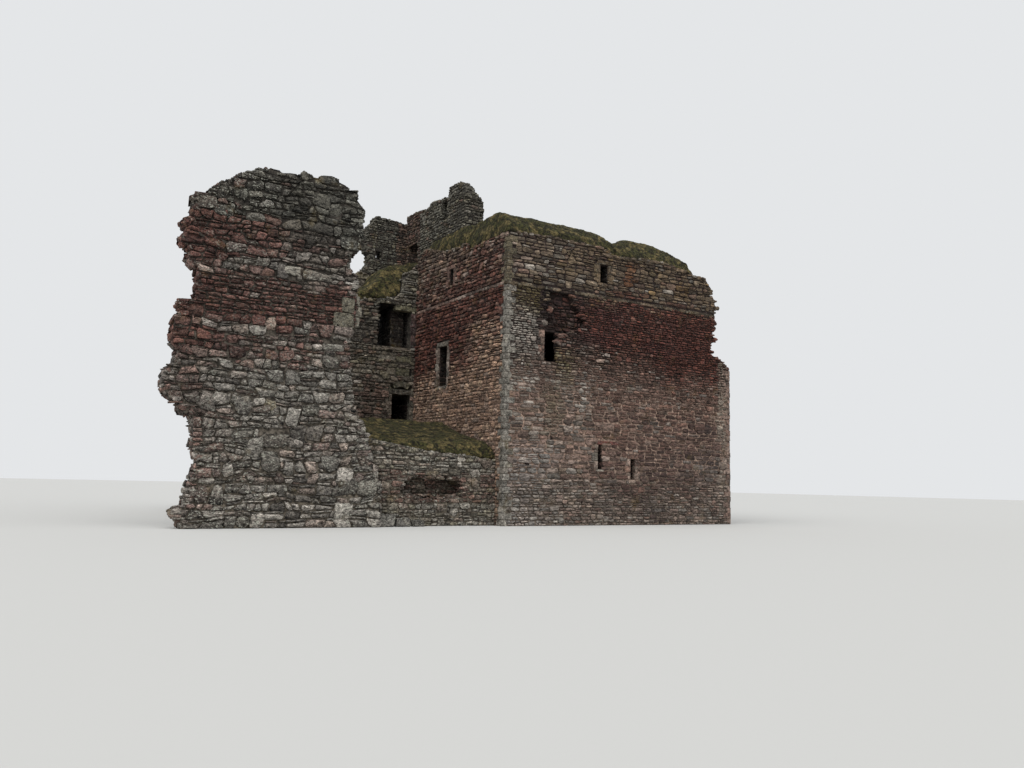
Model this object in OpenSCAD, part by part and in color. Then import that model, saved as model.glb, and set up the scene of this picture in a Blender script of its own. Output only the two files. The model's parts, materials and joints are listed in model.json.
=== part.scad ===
/* [Main block] */
// Width of the gable face
block_w = 13700; // [13300:50:14100]
// Depth of the main block from gable to rear face
block_d = 18300; // [17800:50:18800]
// Thickness of the main walls
wall_t = 3700; // [3500:50:3800]
// Height of the hall floor above the lowest ground
hall_z = 4600; // [4550:10:4650]
// Height of the underside of the string course
string_z = 10600; // [10550:10:10650]
// Height of the flat wall head that carries the garret walls
head_z = 13200; // [13150:10:13250]
/* [Wing] */
// Length of the wing along its entrance face
wing_l = 8500; // [8300:50:8700]
// Distance from the gable face to the entrance face of the wing
wing_y = 9100; // [9000:50:9200]
// Thickness of the wing's end and rear walls
wing_t = 2400; // [2300:50:2500]
// Height of the entrance sill and wing floor
door_z = 4400; // [4350:10:4450]
/* [String course] */
// Height of the moulding
string_h = 180; // [150:10:200]
// How far the moulding stands out from the face
string_out = 100; // [80:5:120]
/* [Vaults] */
// Thickness of the hall vault at its crown
vault_crown = 600; // [500:25:700]
// Height at which the cellar vault springs from the walls
vault_spring = 1500; // [1400:50:1600]
// Height at which the vault over the hall springs from the walls
hall_spring = 8700; // [8650:10:8750]
/* [Garret] */
// Set-back of the garret side wall from the left face
garret_x = 600; // [550:10:650]
// Set-back of the garret end wall from the gable face
garret_y = 12000; // [11950:10:12050]
// Thickness of the garret walls
garret_t = 800; // [750:10:850]
/* [Forework] */
// Thickness of the tall fragment
fragment_t = 1900; // [1700:50:2000]
// Set-back of the low wall behind the gable face line
low_y = 600; // [500:50:650]
/* [Hidden] */

red_stone = "#6b4238";
dark_stone = "#54342f";
grey_stone = "#7b776d";
pale_stone = "#8d887c";
earth = "#5d5a38";

// Plan limits, from which the reference point below the middle is worked out
fragment_left = -14000;
x_mid = (fragment_left + block_w + string_out) / 2;
y_mid = block_d / 2;

// Inner faces
hall_x0 = wall_t;
hall_x1 = block_w - wall_t;
hall_y0 = wall_t;
hall_y1 = block_d - wall_t;
wing_x0 = wing_t - wing_l;
wing_y0 = wing_y + wall_t;
wing_y1 = block_d - wing_t;
wing_band = 7900;

// An opening is [outer centre, outer width, inner centre, inner width, sill, head]
slit_w = 260;
slit_in = 1300;
gable_slits = [[5250, slit_w, 5250, slit_in, 2570, 3710], [7200, slit_w, 7200, slit_in, 2130, 3100]];
gable_window = [[2360, 680, 4500, 1400, 7330, 8740]];
gable_garret_window = [[5400, 490, 5400, 1200, 11380, 12270]];
left_window = [[5900, 900, 5900, 1500, 6530, 8500], [13700, 1000, 13700, 1000, hall_z, 6600]];
left_slit = [[5250, 450, 5250, 1100, 11420, 12300]];
side_slits = [[6500, slit_w, 6500, slit_in, 2300, 3400], [11500, slit_w, 11500, slit_in, 2300, 3400]];
side_windows = [[6500, 600, 6500, 1500, 6530, 8560], [11500, 600, 11500, 1500, 6530, 8560]];
side_slit = [[9100, 350, 9100, 1100, 11450, 12420]];
rear_slits = [[5250, slit_w, 5250, slit_in, 2300, 3400], [8450, slit_w, 8450, slit_in, 2300, 3400]];
rear_window = [[6850, 600, 6850, 1500, 6530, 8560]];
rear_slit = [[6850, 350, 6850, 1100, 11450, 12420]];
door = [[-740, 1040, -740, 1300, door_z, 6290]];
broken_opening = [[-1250, 1900, -1350, 1500, 8750, 11000]];
garret_holes = [[7400, 640, 7400, 640, 15400, 16450], [11130, 1300, 11130, 1300, 13800, 15000]];
// Holes left by the scaffold, as distance along the wall and height
putlog_holes = [[1190, 2680], [2490, 3880], [3620, 2710], [12870, 2590]];
wing_putlog_holes = [[-2370, 6370]];

// Ragged tops and edges, as distance along the wall and height
gable_head_line = [[0, 12870], [500, 13000], [2200, 13110], [5200, 13080], [5600, 12980],
    [5900, 12780], [6800, 12830], [8000, 12930], [9090, 12930], [10000, 12860], [10700, 12700],
    [11320, 12600], [11980, 12560], [11960, 12420], [12380, 12180], [12500, 11840], [12340, 11740],
    [12640, 11560], [12690, 11290], [12860, 11110], [12640, 10930], [12660, string_z]];
gable_broken_edge = [[12660, string_z], [12420, 10540], [12750, 10370], [12580, 10140],
    [12710, 10010], [12460, 9760], [12600, 9560], [12770, 9340], [12410, 9230], [12290, 8930],
    [12570, 8820], [12350, 8630], [12710, 8540], [13190, 8370], [13550, 8090], [block_w, 7900]];
left_parapet_line = [[wall_t, 13220], [5000, 13250], [5820, 13330], [6690, 13520], [7980, 13900],
    [8500, 13950], [8750, 13620], [9130, 13350], [9400, head_z]];
wing_front_line = [[0, 13060], [-420, 12950], [-700, 12450], [-850, 11700], [-1150, 11480],
    [-1890, 11250], [-3000, 11100], [-3400, 10850], [-4400, 10300], [-6500, 9900], [-wing_l, 9600]];
wing_back_line = [[0, head_z], [-2200, head_z], [-3200, 12000], [-5000, 10800], [-wing_l, 10000]];
garret_side_line = [[6980, head_z], [6980, 16550], [8830, 16820], [9530, 16580], [10420, 16760],
    [garret_y, 16800], [garret_y, head_z]];
garret_end_line = [[-1880, head_z], [-1860, 13420], [-1580, 13750], [-1560, 14300], [-1740, 14450],
    [-1820, 14780], [-1850, 15350], [-1750, 15800], [-1520, 16060], [-1350, 16200], [-1310, 16480],
    [-400, 16450], [440, 16330], [garret_x + garret_t, 16600], [garret_x + garret_t, head_z]];
stub_line = [[5200, head_z], [5200, 16250], [5450, 16750], [5620, 17000], [6240, 17090],
    [6880, 17050], [6980, 16600], [6980, head_z]];
stub_end_line = [[0, head_z], [0, 17090], [400, 17090], [650, 16500], [1050, 16000], [1050, head_z]];
fragment_line = [[-13050, 0], [-13020, 280], [-13330, 420], [-13320, 640], [-12960, 760],
    [-12860, 1450], [-12640, 1980], [-12600, 2420], [-12800, 2850], [-12760, 3350], [-12880, 3920],
    [-13300, 4100], [-13360, 4420], [-13720, 4620], [fragment_left, 5000], [-13860, 5500],
    [-13560, 5760], [-13480, 6250], [-13690, 6580], [-13710, 7120], [-13600, 7480], [-13360, 7700],
    [-13560, 7800], [-13540, 8010], [-12990, 8130], [-12970, 8800], [-13000, 9320], [-13380, 9530],
    [-13260, 9860], [-13380, 10050], [-13620, 10260], [-13420, 10520], [-13420, 10740],
    [-13620, 10830], [-13600, 10990], [-13260, 11110], [-13310, 11450], [-13220, 11650],
    [-13290, 11800], [-13240, 11990], [-12800, 12020], [-12700, 12280], [-12440, 12530],
    [-12280, 12650], [-12020, 12720], [-11880, 12920], [-11530, 13070], [-11080, 13330],
    [-10700, 13460], [-10180, 13420], [-9620, 13420], [-9120, 13570], [-9000, 13440], [-8680, 13420],
    [-8580, 13590], [-8120, 13660], [-7990, 13500], [-7520, 13400], [-7540, 13220], [-7200, 13220],
    [-7120, 12940], [-6880, 12680], [-6800, 12480], [-6850, 12240], [-6910, 12020], [-6870, 11700],
    [-6900, 11340], [-6900, 11040], [-6970, 10850], [-7250, 10750], [-7340, 10560], [-7380, 10370],
    [-7390, 10140], [-7210, 9960], [-6990, 9800], [-6990, 7820], [-7150, 7670], [-7240, 7100],
    [-7120, 5900], [-6920, 4690],
    [-6330, 3510], [-6020, 2230], [-5660, 1730], [-5640, 0]];
fragment_core_line = [[-12600, 0], [-12350, 1500], [-12150, 2500], [-12450, 4000], [-13100, 4900],
    [-13150, 5600], [-12950, 6300], [-13050, 7400], [-12550, 8200], [-12550, 9400], [-12900, 10300],
    [-12750, 11600], [-12150, 12300], [-11300, 12900], [-10500, 13250], [-8100, 13350], [-7200, 12600],
    [-7250, 11500], [-7700, 10400], [-7450, 7000], [-6920, 4690], [-6330, 3510], [-6020, 2230],
    [-5660, 1730], [-5640, 0]];
low_wall_top = [[-6330, 3510], [-4390, 3190], [-2960, 3060], [0, 2820]];
low_wall_end = [[-5640, 0], [-5660, 1730], [-6020, 2230]];
cavity_line = [[-4520, 1300], [-4300, 1900], [-3700, 2080], [-2900, 2020], [-2300, 2100], [-1750, 2000],
    [-1600, 1650], [-1720, 1180], [-2500, 1060], [-3300, 1120], [-4200, 1080]];
cavity_depth = 700;
low_t = fragment_t - low_y;

module placed() translate([-x_mid, -y_mid, 0]) children();
module elevation(line, thick)
    translate([0, thick, 0]) rotate([90, 0, 0]) linear_extrude(thick) polygon(line);
function closed_down(line, z) = concat(line, [[line[len(line) - 1][0], z], [line[0][0], z]]);

// Each wall is drawn with its outer face on y = 0 and its thickness running to +y
module on_left_face() mirror([1, -1, 0]) children();
module on_right_face() translate([block_w, 0, 0]) rotate([0, 0, 90]) children();
module on_rear_face() translate([0, block_d, 0]) mirror([0, 1, 0]) children();
module on_wing_face() translate([0, wing_y, 0]) children();
module on_wing_end_face() translate([-wing_l, 0, 0]) mirror([1, -1, 0]) children();

module plan_block(outer, inner, thick, z0, z1)
    translate([0, 0, z0]) linear_extrude(z1 - z0)
        polygon([[outer[0], 0], [outer[1], 0], [inner[1], thick], [inner[0], thick]]);

// Stretches of wall between splayed openings, each as tall as the storey
module piers(ends, thick, z0, z1, holes) {
    n = len(holes);
    for (i = [0:n]) {
        before = i == 0 ? [ends[0], ends[0]]
            : [holes[i - 1][0] + holes[i - 1][1] / 2, holes[i - 1][2] + holes[i - 1][3] / 2];
        after = i == n ? [ends[1], ends[1]]
            : [holes[i][0] - holes[i][1] / 2, holes[i][2] - holes[i][3] / 2];
        plan_block([before[0], after[0]], [before[1], after[1]], thick, z0, z1);
    }
}

// Masonry below the sill and above the head of each opening, splayed as the opening is
module sills_and_heads(thick, z0, z1, holes)
    for (h = holes) {
        outer = [h[0] - h[1] / 2, h[0] + h[1] / 2];
        inner = [h[2] - h[3] / 2, h[2] + h[3] / 2];
        if (h[4] > z0) plan_block(outer, inner, thick, z0, h[4]);
        if (h[5] < z1) plan_block(outer, inner, thick, h[5], z1);
    }

// Shallow hollow where the facing has fallen above the hall window
module fallen_facing()
    translate([0, -1, 0]) elevation([[1960, 8480], [2080, 9200], [2400, 9650], [2180, 10050],
        [2250, 10380], [2120, string_z - 20], [3500, string_z - 20], [3680, 10100], [3960, 9880],
        [4040, 9620], [4350, 9400], [4120, 9020], [3450, 8820], [2950, 8560], [2720, 8300]], 301);

module gable_lower_wall() color(red_stone) placed() difference() {
    piers([0, block_w], wall_t, 0, hall_z, gable_slits);
    for (h = putlog_holes) translate([h[0] - 75, -1, h[1] - 75]) cube([150, 501, 150]);
}
module gable_hall_wall() color(dark_stone) placed() difference() {
    intersection() {
        piers([0, block_w], wall_t, hall_z, string_z, gable_window);
        elevation(concat([[0, hall_z], [0, string_z]], gable_broken_edge, [[block_w, hall_z]]), wall_t);
    }
    fallen_facing();
}
module gable_crest() elevation(concat([[0, string_z]], gable_head_line), wall_t);
module gable_wall_head() color(grey_stone) placed() intersection() {
    piers([0, block_w], wall_t, string_z, head_z, gable_garret_window);
    gable_crest();
}
module gable_sills_and_heads() color(red_stone) placed() {
    sills_and_heads(wall_t, 0, hall_z, gable_slits);
    difference() {
        sills_and_heads(wall_t, hall_z, string_z, gable_window);
        fallen_facing();
    }
    intersection() {
        sills_and_heads(wall_t, string_z, head_z, gable_garret_window);
        gable_crest();
    }
}

module left_lower_wall() color(red_stone) placed() on_left_face()
    piers([hall_y0, hall_y1], wall_t, 0, hall_z, []);
module left_hall_wall() color(red_stone) placed() on_left_face()
    piers([hall_y0, hall_y1], wall_t, hall_z, string_z, left_window);
module left_wall_head() color(grey_stone) placed() on_left_face() {
    piers([hall_y0, hall_y1], wall_t, string_z, head_z, left_slit);
    elevation(closed_down(left_parapet_line, head_z), garret_x / 2);
}
module left_sills_and_heads() color(pale_stone) placed() on_left_face() {
    sills_and_heads(wall_t, hall_z, string_z, left_window);
    sills_and_heads(wall_t, string_z, head_z, left_slit);
}

module right_lower_wall() color(red_stone) placed() on_right_face()
    piers([hall_y0, hall_y1], wall_t, 0, hall_z, side_slits);
module right_hall_wall() color(dark_stone) placed() on_right_face()
    piers([hall_y0, hall_y1], wall_t, hall_z, string_z, side_windows);
module right_wall_head() color(grey_stone) placed() on_right_face() intersection() {
    piers([hall_y0, hall_y1], wall_t, string_z, head_z, side_slit);
    elevation(closed_down([[hall_y0, 12100], [5200, 12500], [8000, 12900], [11500, 12650],
        [hall_y1, 12900]], string_z), wall_t);
}
module right_sills_and_heads() color(red_stone) placed() on_right_face() {
    sills_and_heads(wall_t, 0, hall_z, side_slits);
    sills_and_heads(wall_t, hall_z, string_z, side_windows);
    sills_and_heads(wall_t, string_z, 12600, side_slit);
}

module rear_lower_wall() color(red_stone) placed() on_rear_face()
    piers([0, block_w], wall_t, 0, hall_z, rear_slits);
module rear_hall_wall() color(dark_stone) placed() on_rear_face()
    piers([0, block_w], wall_t, hall_z, string_z, rear_window);
module rear_wall_head() color(grey_stone) placed() on_rear_face() intersection() {
    piers([0, block_w], wall_t, string_z, head_z, rear_slit);
    elevation(closed_down([[0, 12900], [3000, 12700], [6400, 12950], [9500, 12600],
        [block_w, 12850]], string_z), wall_t);
}
module rear_sills_and_heads() color(red_stone) placed() on_rear_face() {
    sills_and_heads(wall_t, 0, hall_z, rear_slits);
    sills_and_heads(wall_t, hall_z, string_z, rear_window);
    sills_and_heads(wall_t, string_z, 12600, rear_slit);
}

// A chamfered moulding along one face, its back on the wall
module string_bar(from, to) translate([from, 0, string_z]) rotate([90, 0, 90]) linear_extrude(to - from)
    polygon([[0, 0], [-string_out, 50], [-string_out, string_h - 30], [-string_out / 2, string_h],
        [0, string_h]]);
module string_course() color(grey_stone) placed() {
    string_bar(0, 2900);
    string_bar(3700, 12650);
    on_left_face() string_bar(0, wing_y);
    on_right_face() string_bar(hall_y0, block_d);
    on_rear_face() string_bar(0, block_w);
}

// Barrel vault with a level floor above it, spanning x and running along y
module vault(span, length, top, crown, spring) {
    rise = top - crown - spring;
    radius = (span * span / 4 + rise * rise) / (2 * rise);
    translate([0, length, 0]) rotate([90, 0, 0]) linear_extrude(length) difference() {
        translate([0, spring]) square([span, top - spring]);
        intersection() {
            translate([span / 2, top - crown - radius]) circle(r = radius, $fn = 96);
            translate([0, spring - 1]) square([span, top - spring]);
        }
    }
}
module hall_vault() color(red_stone) placed() translate([hall_x0, hall_y0, 0])
    vault(hall_x1 - hall_x0, hall_y1 - hall_y0, hall_z, vault_crown, vault_spring);

module upper_vault() color(red_stone) placed() translate([hall_x0, hall_y0, 0])
    vault(hall_x1 - hall_x0, hall_y1 - hall_y0, string_z, vault_crown, hall_spring);

module wing_lower_wall() color(grey_stone) placed() on_wing_face()
    piers([-wing_l, 0], wall_t, 0, door_z, []);

// The pocket holds the lintel, relieving arch and panel flush with the face
arch_x = -740;
arch_z = 6560;
arch_in = 560;
arch_out = 860;
arch_drop = 420;
facing = 350;
panel_x = [-1100, -320];
panel_z = [7280, 7670];
module arch_ring(inner, outer) intersection() {
    translate([arch_x, arch_z - arch_drop]) difference() {
        circle(r = outer, $fn = 64);
        circle(r = inner, $fn = 64);
    }
    translate([arch_x - outer, arch_z]) square([2 * outer, outer]);
}
module wing_pocket() translate([0, facing, 0]) rotate([90, 0, 0]) linear_extrude(facing + 1) {
    translate([-1430, 6290]) square([1370, 270]);
    arch_ring(0, arch_out);
    translate([panel_x[0], panel_z[0]]) square([panel_x[1] - panel_x[0], panel_z[1] - panel_z[0]]);
}
// A narrow slot beside the panel and a scaffold hole left of the door
module wing_slots() {
    translate([-300, -1, 7280]) cube([100, 501, 430]);
    for (h = wing_putlog_holes) translate([h[0] - 75, -1, h[1] - 75]) cube([150, 501, 150]);
}
module wing_door_wall() color(grey_stone) placed() on_wing_face() difference() {
    piers([-wing_l, 0], wall_t, door_z, wing_band, door);
    wing_pocket();
    wing_slots();
}
module wing_crest() {
    elevation(closed_down(wing_front_line, wing_band), garret_y - wing_y);
    translate([0, garret_y - wing_y, 0]) elevation(closed_down(wing_back_line, wing_band),
        wall_t - garret_y + wing_y);
}
// A stub of masonry stands back inside the broken opening
module wing_upper_wall() color(grey_stone) placed() on_wing_face() {
    intersection() {
        piers([-wing_l, 0], wall_t, wing_band, head_z, broken_opening);
        wing_crest();
    }
    translate([-1250, 500, broken_opening[0][4]])
        cube([700, 1200, broken_opening[0][5] - broken_opening[0][4]]);
}
module wing_sills_and_heads() color(grey_stone) placed() on_wing_face() {
    difference() {
        sills_and_heads(wall_t, door_z, wing_band, door);
        wing_pocket();
        wing_slots();
    }
    intersection() {
        sills_and_heads(wall_t, wing_band, head_z, broken_opening);
        wing_crest();
    }
}
module wing_end_wall() color(grey_stone) placed() on_wing_end_face()
    elevation([[wing_y0, 0], [wing_y0, 9900], [wing_y1, 9500], [wing_y1, 0]], wing_t);
module wing_rear_wall() color(grey_stone) placed() on_rear_face()
    elevation([[-wing_l, 0], [-wing_l, 9600], [-5200, 9300], [-2600, 9900], [0, 10800], [0, 0]], wing_t);
module wing_vault() color(red_stone) placed() translate([0, wing_y0, 0]) rotate([0, 0, 90])
    vault(wing_y1 - wing_y0, -wing_x0, door_z, 500, vault_spring + 1000);

module door_lintel() color(pale_stone) placed() on_wing_face()
    translate([-1430, 0, 6290]) cube([1370, facing, 270]);
// Wedge-shaped stones, the lowest pair cut level on the lintel, all joints pointing at the centre
arch_joints = [20, 51.4, 66.9, 82.3, 97.7, 113.1, 128.6, 160];
module arch_stone(from, to) intersection() {
    arch_ring(arch_in, arch_out);
    translate([arch_x, arch_z - arch_drop])
        polygon([[0, 0], 1000 * [cos(from), sin(from)], 1000 * [cos(to), sin(to)]]);
}
module relieving_arch() color(pale_stone) placed() on_wing_face()
    for (i = [0:len(arch_joints) - 2]) translate([0, facing, 0]) rotate([90, 0, 0])
        linear_extrude(facing) arch_stone(arch_joints[i] + 0.3, arch_joints[i + 1] - 0.3);
module blank_panel() color(pale_stone) placed() on_wing_face()
    translate([panel_x[0], 0, panel_z[0]]) cube([panel_x[1] - panel_x[0], facing, panel_z[1] - panel_z[0]]);

module on_garret_side() placed() translate([garret_x, 0, 0]) on_left_face() children();
module garret_side_wall() color(grey_stone) on_garret_side() intersection() {
    piers([6980, garret_y], garret_t, head_z, 17500, garret_holes);
    elevation(garret_side_line, garret_t);
}
module garret_lintels() color(grey_stone) on_garret_side() intersection() {
    sills_and_heads(garret_t, head_z, 17500, garret_holes);
    elevation(garret_side_line, garret_t);
}
module garret_end_wall() color(grey_stone) placed() translate([0, garret_y, 0]) difference() {
    elevation(garret_end_line, garret_t);
    translate([-1260, -1, 14050]) cube([360, garret_t + 2, 480]);
}
module chimney_stub() color(grey_stone) on_garret_side() intersection() {
    elevation(stub_line, 1050);
    rotate([90, 0, 90]) linear_extrude(8000) polygon(stub_end_line);
}

module low_wall() color(grey_stone) placed() translate([0, low_y, 0]) difference() {
    elevation(concat(low_wall_end, low_wall_top, [[0, 0]]), low_t);
    translate([0, -1, 0]) elevation(cavity_line, cavity_depth + 1);
}
module low_wall_cap() color(earth) placed()
    cap(concat(low_wall_top, [[0, 3700], [-6270, 4000]]),
        [[low_y + 60, 2500], [low_y + 60, 3050], [low_y + 400, 3450], [fragment_t, 3750], [fragment_t, 2500]],
        [-6330, 0]);
module rubble_bank() color(earth) placed() intersection() {
    translate([-11000, 0, 0]) rotate([90, 0, 90]) linear_extrude(11000)
        polygon([[fragment_t, 0], [fragment_t, 3750], [3900, 4150], [5600, 4700], [7500, 4620],
            [wing_y, 4450], [wing_y, 0]]);
    elevation([[-11000, 0], [-9300, 2400], [-7800, 5100], [0, 5100], [0, 0]], wing_y);
}
module block(at, size, turn) translate(at) rotate(turn) intersection() {
    cube(size, center = true);
    rotate([45, 0, 0]) cube([size[0] * 2, size[1] * 1.15, size[2] * 1.15], center = true);
}
module fallen_blocks() color(pale_stone) placed() {
    block([-5250, 320, 240], [700, 460, 480], [0, 0, 8]);
    block([-4500, 330, 160], [600, 420, 320], [0, 0, -6]);
    block([-3800, 330, 130], [480, 380, 260], [0, 0, 4]);
}
module tall_fragment() color(grey_stone) placed() {
    elevation(fragment_line, 700);
    translate([0, 700, 0]) elevation(fragment_core_line, fragment_t - 700);
}
module fragment_jamb() color(pale_stone) placed()
    for (i = [0:2]) translate([-6990, 0, 7820 + i * 420]) cube([i == 1 ? 260 : 180, 600, 400]);

// A crowned bank of earth: its long outline and its cross outline, cut by each other
module cap(long_line, cross_line, along) intersection() {
    elevation(long_line, 20000);
    translate([along[0], 0, 0]) rotate([90, 0, 90]) linear_extrude(along[1] - along[0]) polygon(cross_line);
}
module gable_left_cap() color(earth) placed() difference() {
    cap([[100, 12900], [180, 13500], [450, 14350], [1300, 14200], [3200, 14200], [4200, 14450],
        [5000, 14450], [5800, 14050], [6200, 13500], [6300, 12800]],
        [[100, 12800], [350, 13500], [900, 14050], [1700, 14350], [2600, 14450], [wall_t, 14300],
        [wall_t, 12800]], [0, 6400]);
    gable_crest();
}
module gable_right_cap() color(earth) placed() difference() {
    cap([[6300, 12800], [6400, 13450], [7000, 13850], [7800, 14250], [9300, 14250], [10300, 13850],
        [11100, 13300], [11700, 12500]],
        [[150, 12300], [400, 13300], [900, 13950], [1600, 14350], [2600, 14000], [3600, 13200],
        [wall_t, 12300]], [6000, 11800]);
    gable_crest();
}
module left_wall_cap() color(earth) placed() {
    intersection() {
        translate([garret_x / 2, wall_t, 0]) rotate([90, 0, 90]) linear_extrude(garret_x / 2)
            polygon([[0, head_z], [0, 14300], [1100, 14500], [4700, 14600], [5400, 13700], [6300, head_z]]);
        elevation([[300, head_z], [300, 13900], [600, 14700], [600, head_z]], block_d);
    }
    cap([[600, head_z], [600, 14300], [1500, 14400], [2600, 14000], [wall_t, head_z]],
        [[wall_t, head_z], [wall_t, 14500], [4400, 14300], [5200, 13900], [5200, head_z]], [0, wall_t]);
    cap([[1650, head_z], [1900, 13500], [3100, 13500], [wall_t, head_z]],
        [[5200, head_z], [5200, 13600], [11500, 13500], [garret_y, head_z]], [0, wall_t]);
}
module wing_cap() color(earth) placed() {
    difference() {
        cap([[0, 10500], [0, 13950], [-500, 13680], [-1130, 13380], [-1770, 12900], [-2050, 12300],
            [-2700, 11800], [-3500, 11250], [-4000, 10500]],
            [[wing_y + 50, 10500], [wing_y + 50, 11350], [wing_y + 400, 12250], [wing_y + 1200, 13300],
            [garret_y, 13950], [garret_y, 10500]], [-4200, 0]);
        on_wing_face() wing_crest();
    }
    cap([[0, head_z], [0, 13950], [garret_x, 13840], [garret_x, head_z]],
        [[9400, head_z], [9700, 13400], [10300, 13720], [garret_y, 13840], [garret_y, head_z]],
        [0, garret_x]);
}
module rear_caps() color(earth) placed() on_rear_face()
    cap([[3000, 12700], [3600, 13300], [5600, 13300], [6400, 12950]],
        [[200, 12600], [700, 13200], [3000, 13200], [3500, 12600]], [2000, 8000]);

gable_lower_wall();
gable_hall_wall();
gable_wall_head();
gable_sills_and_heads();
left_lower_wall();
left_hall_wall();
left_wall_head();
left_sills_and_heads();
right_lower_wall();
right_hall_wall();
right_wall_head();
right_sills_and_heads();
rear_lower_wall();
rear_hall_wall();
rear_wall_head();
rear_sills_and_heads();
string_course();
hall_vault();
upper_vault();
wing_lower_wall();
wing_door_wall();
wing_upper_wall();
wing_sills_and_heads();
wing_end_wall();
wing_rear_wall();
wing_vault();
door_lintel();
relieving_arch();
blank_panel();
garret_side_wall();
garret_end_wall();
garret_lintels();
chimney_stub();
low_wall();
rubble_bank();
fallen_blocks();
tall_fragment();
fragment_jamb();
low_wall_cap();
gable_left_cap();
gable_right_cap();
left_wall_cap();
wing_cap();
rear_caps();
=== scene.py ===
"""A ruined castle keep of rubble masonry, dressed stone by stone over its solid model."""
import itertools
import json
import math

import bmesh
import bpy
import numpy as np
from bpy.props import FloatProperty, FloatVectorProperty, PointerProperty
from mathutils import Matrix, Vector
from mathutils.bvhtree import BVHTree

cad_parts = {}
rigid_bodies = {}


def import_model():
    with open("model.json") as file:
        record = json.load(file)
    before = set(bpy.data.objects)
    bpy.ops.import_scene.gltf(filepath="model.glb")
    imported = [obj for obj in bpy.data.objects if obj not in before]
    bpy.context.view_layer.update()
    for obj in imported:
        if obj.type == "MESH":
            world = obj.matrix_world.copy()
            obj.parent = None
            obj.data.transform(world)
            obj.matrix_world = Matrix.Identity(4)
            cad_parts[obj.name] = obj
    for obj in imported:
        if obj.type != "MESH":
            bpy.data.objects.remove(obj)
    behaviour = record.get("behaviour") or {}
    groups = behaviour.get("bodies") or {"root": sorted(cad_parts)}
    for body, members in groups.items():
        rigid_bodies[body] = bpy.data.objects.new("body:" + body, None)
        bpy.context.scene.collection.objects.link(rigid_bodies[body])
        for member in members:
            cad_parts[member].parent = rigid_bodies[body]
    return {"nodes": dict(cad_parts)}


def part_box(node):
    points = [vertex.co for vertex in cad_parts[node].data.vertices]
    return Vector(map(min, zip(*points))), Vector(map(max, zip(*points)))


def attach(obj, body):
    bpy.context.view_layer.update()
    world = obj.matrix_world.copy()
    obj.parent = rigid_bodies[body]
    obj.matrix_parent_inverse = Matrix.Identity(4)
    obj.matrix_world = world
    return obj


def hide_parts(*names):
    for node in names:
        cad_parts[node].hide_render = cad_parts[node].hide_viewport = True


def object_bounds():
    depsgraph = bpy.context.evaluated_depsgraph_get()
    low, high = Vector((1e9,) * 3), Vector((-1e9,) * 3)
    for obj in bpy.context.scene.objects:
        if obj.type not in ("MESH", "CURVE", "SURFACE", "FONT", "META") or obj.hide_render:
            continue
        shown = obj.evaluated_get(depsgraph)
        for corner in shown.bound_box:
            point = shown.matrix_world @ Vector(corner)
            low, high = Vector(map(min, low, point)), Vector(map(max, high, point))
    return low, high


bl_info = {
    "name": "Castle keep",
    "version": (1, 0, 0),
    "blender": (4, 5, 0),
    "location": "View3D > Sidebar > Keep",
    "description": "Lays the rubble, dressings and earth banks of a ruined castle keep",
    "category": "Add Mesh",
}

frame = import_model()
CAD_BOUNDS = [list(corner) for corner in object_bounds()]

# The near corner of the main block, from which everything is measured: along the gable, back and up, in metres
NEAR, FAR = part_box("gable_lower_wall")
CORNER = Vector((NEAR.x, NEAR.y, 0.0))
ORIGIN = np.array(CORNER)
GABLE_L = FAR.x - CORNER.x
WALL_T = FAR.y - CORNER.y
BLOCK_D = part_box("rear_lower_wall")[1].y - CORNER.y
HALL_Z = FAR.z
STRING_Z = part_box("string_course")[0].z
WING_NEAR, WING_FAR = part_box("wing_lower_wall")
WING_X = WING_NEAR.x - CORNER.x
WING_Y = WING_NEAR.y - CORNER.y
DOOR_Z = WING_FAR.z
# Which nodes are faced with rubble: how their names begin, group by group, and how they end
GROUPS = {
    "block": ("gable", "left", "right", "rear", "hall", "upper"),
    "wing": ("wing",),
    "fragment": ("tall",),
    "low": ("low",),
    "garret": ("garret", "chimney"),
}
RUBBLE_ENDINGS = ("wall", "heads", "head", "lintels", "stub", "fragment", "vault")
# Nodes that banks of earth stand in for, and those that squared stones stand in for
EARTH_NODES = ("rubble_bank", "low_wall_cap", "gable_left_cap", "gable_right_cap", "left_wall_cap", "wing_cap",
               "rear_caps")
FLUSH_NODES = ("door_lintel", "relieving_arch", "blank_panel", "fragment_jamb", "string_course", "fallen_blocks")
INSET = 0.002  # how far every piece stays inside the solid model's box, in metres
FLUSH = 0.01  # how far apart two faces may be and still count as one plane, in metres


def linear(hex_colour):
    """An sRGB hex colour as linear red, green and blue."""
    parts = [int(hex_colour[i:i + 2], 16) / 255 for i in (1, 3, 5)]
    return tuple(p / 12.92 if p <= 0.04045 else ((p + 0.055) / 1.055) ** 2.4 for p in parts)


def opaque(hex_colour):
    """The same with the alpha that a shader's colour needs."""
    return (*linear(hex_colour), 1)


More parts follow.
